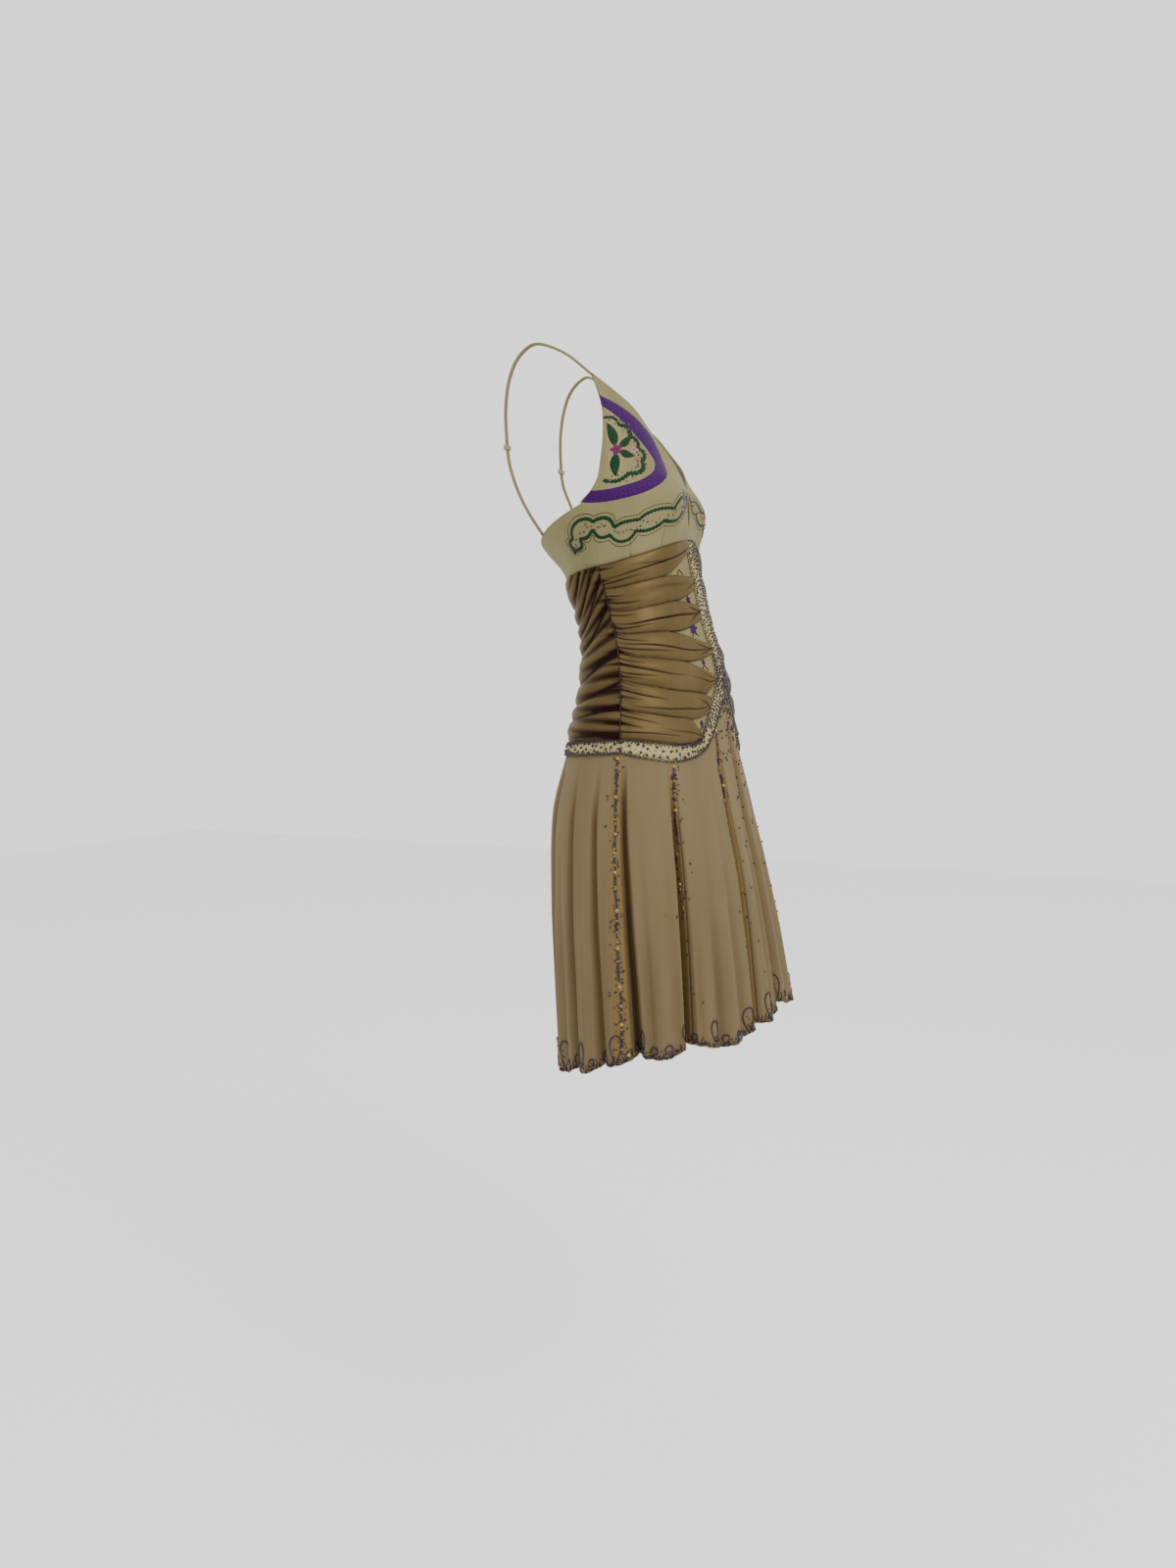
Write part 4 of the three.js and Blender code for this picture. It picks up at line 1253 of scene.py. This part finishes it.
# %% [markdown]
# ## Embroidery on the cups
# Filled embroidery is satin stitch: threads laid side by side across a narrow shape, so it stands a
# little above the cloth and shines along the threads. The motifs here are common ones: a plain arch,
# a scalloped line, leaves and a five-petalled flower.

# %% Thread finishes


def thread_finish(name, low, high, knots=1500, stretch=0.07):
    gloss = tuple(c**0.4 for c in high)
    more = {"Sheen Tint": high, "Specular IOR Level": 0.25, "Specular Tint": gloss}
    material, shader = new_finish(name, high, 0.5, more)
    strands = cloth_noise(material, knots, (1, stretch, 1), 1)
    blend(material, shader, strands, low, high, 0.35, 0.65)
    add_bump(material, shader, strands, 0.6, 0.0006)
    return material


THREADS = {
    "purple": thread_finish("purple_thread", (0.012, 0.0015, 0.026), (0.05, 0.007, 0.088), 650, 1),
    "green": thread_finish("green_thread", (0.002, 0.010, 0.005), (0.009, 0.038, 0.015)),
    "magenta": thread_finish("magenta_thread", (0.05, 0.005, 0.03), (0.15, 0.018, 0.085)),
    "pink": thread_finish("pink_thread", (0.20, 0.12, 0.09), (0.30, 0.20, 0.15)),
    "brown": thread_finish("brown_thread", (0.022, 0.012, 0.006), (0.04, 0.022, 0.01)),
    "seam": thread_finish("seam_cord", (0.016, 0.008, 0.009), (0.03, 0.016, 0.014)),
}

# %% Drawing on the cloth
SUNK = 0.15  # the edges of stitched shapes lie this far inside the cloth


def cloth_scale(phi, level):
    """Millimetres of cloth for a degree round and for a millimetre of level."""
    around = np.linalg.norm(figure_point(phi + 0.5, level) - figure_point(phi - 0.5, level), axis=-1)
    down = np.linalg.norm(figure_point(phi, level + 0.5) - figure_point(phi, level - 0.5), axis=-1)
    return around, down


def beside(line, offset, at=slice(None)):
    """Points of a (phi, level) line, moved sideways over the cloth by an offset in millimetres."""
    around, down = cloth_scale(line[:, 0], line[:, 1])
    way = unit(np.gradient(line, axis=0) * np.stack([around, down], 1))
    phi = line[at, 0] - way[at, 1] * offset / around[at]
    return np.stack([phi, line[at, 1] + way[at, 0] * offset / down[at]], 1)


def dome(v):
    """How far a stitched shape stands out across its width, from 0 at the edges to 1."""
    return np.maximum(0, 1 - (2 * v - 1) ** 2) ** 0.5


def stitched(name, columns, rows, shape, middle, thread):
    obj = grid_object(name, columns, rows, shape)
    face_outwards(obj, *middle)
    obj.data.materials.append(THREADS[thread])
    return obj


def ribbon_of_thread(name, path, half_width, thread, out=PANEL_OUT, rise=0.7, teeth=0.0, gap=1.2):
    """A stitched band of thread along a path of (phi, level) points, widths in millimetres."""
    steps = max(int(gaps(on_figure(path[:, 0], path[:, 1], out)).sum() / MM / gap), 6)
    line, _ = smooth_path(path, steps)
    wide = np.interp(np.linspace(0, 1, steps), np.linspace(0, 1, len(half_width)), half_width)
    wide = wide * (1 + teeth * np.where(np.arange(steps) % 2 == 0, 1, -1))

    def shape(u, v):
        at = np.clip(np.round(u * (steps - 1)).astype(int), 0, steps - 1)
        phi, level = beside(line, (2 * v - 1) * wide[at], at).T
        return on_figure(inside_armhole(phi, level), level, out - SUNK + (rise + SUNK) * dome(v))

    return stitched(name, steps - 1, 4, shape, line[steps // 2], thread)


def leaf_of_thread(name, at, angle, length, width, thread, bend=0.0, rise=0.9):
    """A pointed leaf or petal that starts at a (phi, level) place. Angle 0 points down the cloth."""
    around, down = cloth_scale(*at)
    angle = math.radians(angle)

    def shape(u, v):
        along = u * length
        across = (2 * v - 1) * width / 2 * np.sin(math.pi * u**0.8) ** 0.8 + bend * np.sin(math.pi * u)
        x = along * math.sin(angle) + across * math.cos(angle)
        y = along * math.cos(angle) - across * math.sin(angle)
        crown = dome(v) * (1 - 0.45 * np.exp(-(((2 * v - 1) / 0.18) ** 2)))
        return on_figure(at[0] + x / around, at[1] + y / down, PANEL_OUT - SUNK + rise * crown)

    return stitched(name, 12, 6, shape, at, thread)


def finish_embroidery(objects, name):
    """Joins the stitched shapes into one piece. Each shape keeps its own thread."""
    piece = join(objects, name)
    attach(piece, "root")
    print(name, len(piece.data.polygons), "faces")


# %% [markdown]
# The arch starts and ends at the armhole. A scalloped green line follows it inside, and a flower with
# long leaves and a pale bud sits in the middle.

# %% Cup motif
ARCH = np.array([
    (72, 86), (62, 102.5), (53.5, 119), (44.5, 139), (37, 162), (35.6, 187),
    (43.5, 205), (54, 213), (64.5, 214), (76, 212.5), (87, 208), (98, 200),
])
ARCH_HALF = [6.6, 8.4, 10.0, 12.4, 13.4, 12.0, 10.0, 9.2, 8.6, 8.0, 7.6]
INNER = np.array([(70, 116), (59, 130), (50, 155), (47.5, 180), (55, 194), (66, 196), (78, 195)])
INNER_HALF = [1.8, 3.2, 2.8, 3.4, 2.0]
LEAVES = [(172, 33, 14), (12, 30, 14), (-58, 21, 11), (-122, 22, 11)]  # angle, length, width
FLOWER = (65.0, 161.0)


def mirrored(path, hand):
    return path * np.array([hand, 1])


def toward(path, centre, share):
    return centre + (path - centre) * share


def scalloped(path, waves, height):
    """A path with scallops: half waves that all swell to the same side (mm)."""
    line, _ = smooth_path(path, waves * 8 + 1)
    return beside(line, np.abs(np.sin(np.linspace(0, waves * math.pi, len(line)))) * height)


def cup_motif(side, hand):
    parts = [ribbon_of_thread("arch", mirrored(ARCH, hand), ARCH_HALF, "purple", gap=1.6)]
    line = mirrored(scalloped(toward(INNER, np.array(FLOWER), 0.96), 6, 5), hand)
    parts.append(ribbon_of_thread("inner_line", line, INNER_HALF, "green", teeth=0.3, gap=1.8))
    flower = (hand * FLOWER[0], FLOWER[1])
    around, down = cloth_scale(*flower)
    for angle, length, width in LEAVES:
        turn = math.radians(hand * angle)
        at = (flower[0] + 5 * math.sin(turn) / around, flower[1] + 5 * math.cos(turn) / down)
        parts.append(leaf_of_thread("leaf", at, hand * angle, length, width, "green", bend=1.5))
    for k in range(5):
        parts.append(leaf_of_thread("petal", flower, hand * (72 * k + 30), 9, 6, "magenta", rise=1.5))
    bud = (flower[0] - hand * 10, flower[1] + 4)
    parts.append(leaf_of_thread("bud", bud, -hand * 80, 13, 8, "pink"))
    finish_embroidery(parts, f"cup_embroidery_{side}")


for side, hand in SIDES:
    cup_motif(side, hand)

# %% [markdown]
# Under the cups a scalloped green border crosses the bodice from side seam to side seam, with beads
# between its two lines and a fine brown stitched line on each side.

# %% Under-cup border
BORDER = np.array([
    (117, 258), (106, 240), (97, 237), (88, 243), (78, 253), (68, 257), (58, 252),
    (48, 252), (38, 248), (28, 241), (17, 233), (8, 226), (2.5, 220),
], float)
BORDER_LINES = (  # which side, waves, start of the wave, half widths
    ("upper", -1, 8, 0, [2.8, 2.4, 2.0, 2.6, 2.2, 1.2]),
    ("lower", 1, 7, 0.9, [2.8, 2.2, 2.6, 2.1, 2.4, 1.2]),
)
EDGING = 6  # millimetres from a green line to the brown one beside it


def border(side, hand):
    line, _ = smooth_path(BORDER, 181)
    run = np.linspace(0, 1, len(line))
    ends = smooth(run / 0.08) * smooth((1 - run) / 0.12)
    lines, edges = [], []
    for name, way, waves, start, half in BORDER_LINES:
        swell = (4.5 + 7.0 * np.abs(np.sin(run * math.pi * waves + start)) ** 0.8) * ends
        green, brown = (mirrored(beside(line, way * (swell + away)), hand) for away in (0, EDGING))
        lines.append(ribbon_of_thread(f"{name}_line", green, half, "green", teeth=0.3, gap=1.6))
        edges.append(ribbon_of_thread(f"{name}_edge", brown, [0.5], "brown", rise=0.4, gap=2))
    finish_embroidery(lines + edges, f"braid_{side}")


for side, hand in SIDES:
    border(side, hand)

# %% Beads on the cups
RING_MIDDLE = np.array([73.0, 165.0])


def cup_surface(phi, level):
    return on_figure(phi, level, PANEL_OUT + 0.4)


for side, hand in SIDES:
    line, _ = smooth_path(BORDER, 60)
    around, down = cloth_scale(line[:, 0], line[:, 1])
    between = line + rng.normal(0, 1.8, line.shape) / np.stack([around, down], 1)
    ring = toward(smooth_path(INNER, 50)[0], RING_MIDDLE, rng.uniform(0.8, 1.22, (50, 1)))
    spots = np.vstack([between, ring])
    spots = spots[inside_armhole(spots[:, 0] + 4, spots[:, 1]) > spots[:, 0] + 3.99]
    colours = pick(len(spots), magenta=0.22, gold=0.08, dark=0.4, purple=0.3)
    sizes = rng.uniform(1.8, 2.6, len(spots))
    phi, level = hand * spots[:, 0], spots[:, 1]
    sew_on(f"cup_beads_{side}", "ball", cup_surface, phi, level, (0.2, 0.5), sizes, colours, 0)

# %% [markdown]
# ## Sprigs on the panel under the sash
# Small purple flowers with short dark stems peep out between the folds.

# %% Sprigs
SPRIGS = [(25, 303, 0), (19.5, 341, 5.5), (20, 375, 9), (18, 416, 4), (17.5, 453, 0), (26, 488, 4)]

parts = []
for side, hand in SIDES:
    for k, (phi, level, size) in enumerate(SPRIGS):
        for turn in range(0, 360, 72) if size else ():
            place = (hand * phi, level)
            parts.append(leaf_of_thread("petal", place, turn + 23 * k, size, size * 0.75, "purple"))
        for lean in (35, -50):
            foot = (hand * phi, level + 3)
            parts.append(leaf_of_thread("stem", foot, hand * lean, 12, 1.8, "seam", rise=0.7))
finish_embroidery(parts, "sprigs")

# %% [markdown]
# A dark cord of piping covers the side seam of the sash, where all the gathers are caught.

# %% Side piping
for side, hand in SIDES:
    levels = np.linspace(286.5, 500.5, 24)
    seam = np.stack([hand * side_seam(levels), levels], 1)
    cord = ribbon_of_thread(f"piping_{side}", seam, [1.0], "seam", out=SASH_OUT + 1.6, rise=1.1, gap=3)
    finish_embroidery([cord], f"side_piping_{side}")

# %% [markdown]
# ## Light and floor
# The photograph has a white surround and no hard shadows. A large soft light stands in front and to
# the left of the camera, a weaker one behind the dress, and a pale floor closes the scene below.

# %% Studio


def area_light(name, at, target, size, watts):
    light = bpy.data.lights.new(name, "AREA")
    light.energy, light.size = watts, size
    obj = add_object(name, light)
    obj.location = at
    obj.rotation_euler = (Vector(target) - Vector(at)).to_track_quat("-Z", "Y").to_euler()


area_light("key", (-1.3, -2.4, 1.8), (0, -0.1, -0.4), 1.6, 75)
area_light("fill", (-2.6, 1.2, 0.6), (0, -0.1, -0.5), 2.0, 6)
area_light("rim", (2.0, 1.4, 1.4), (0, -0.1, -0.4), 1.6, 10)

world = bpy.data.worlds.new("studio")
world.use_nodes = True
surround = world.node_tree.nodes["Background"]
surround.inputs["Color"].default_value = (1, 1, 1, 1)
surround.inputs["Strength"].default_value = 1.5
bpy.context.scene.world = world

bm = bmesh.new()
bmesh.ops.create_grid(bm, x_segments=1, y_segments=1, size=6)
bmesh.ops.translate(bm, vec=(0, 0, -1.5), verts=bm.verts)
floor = add_object("floor", mesh_from(bm, "floor"))
floor_finish, _ = new_finish("floor", (0.9, 0.9, 0.89), 0.8)
floor.data.materials.append(floor_finish)
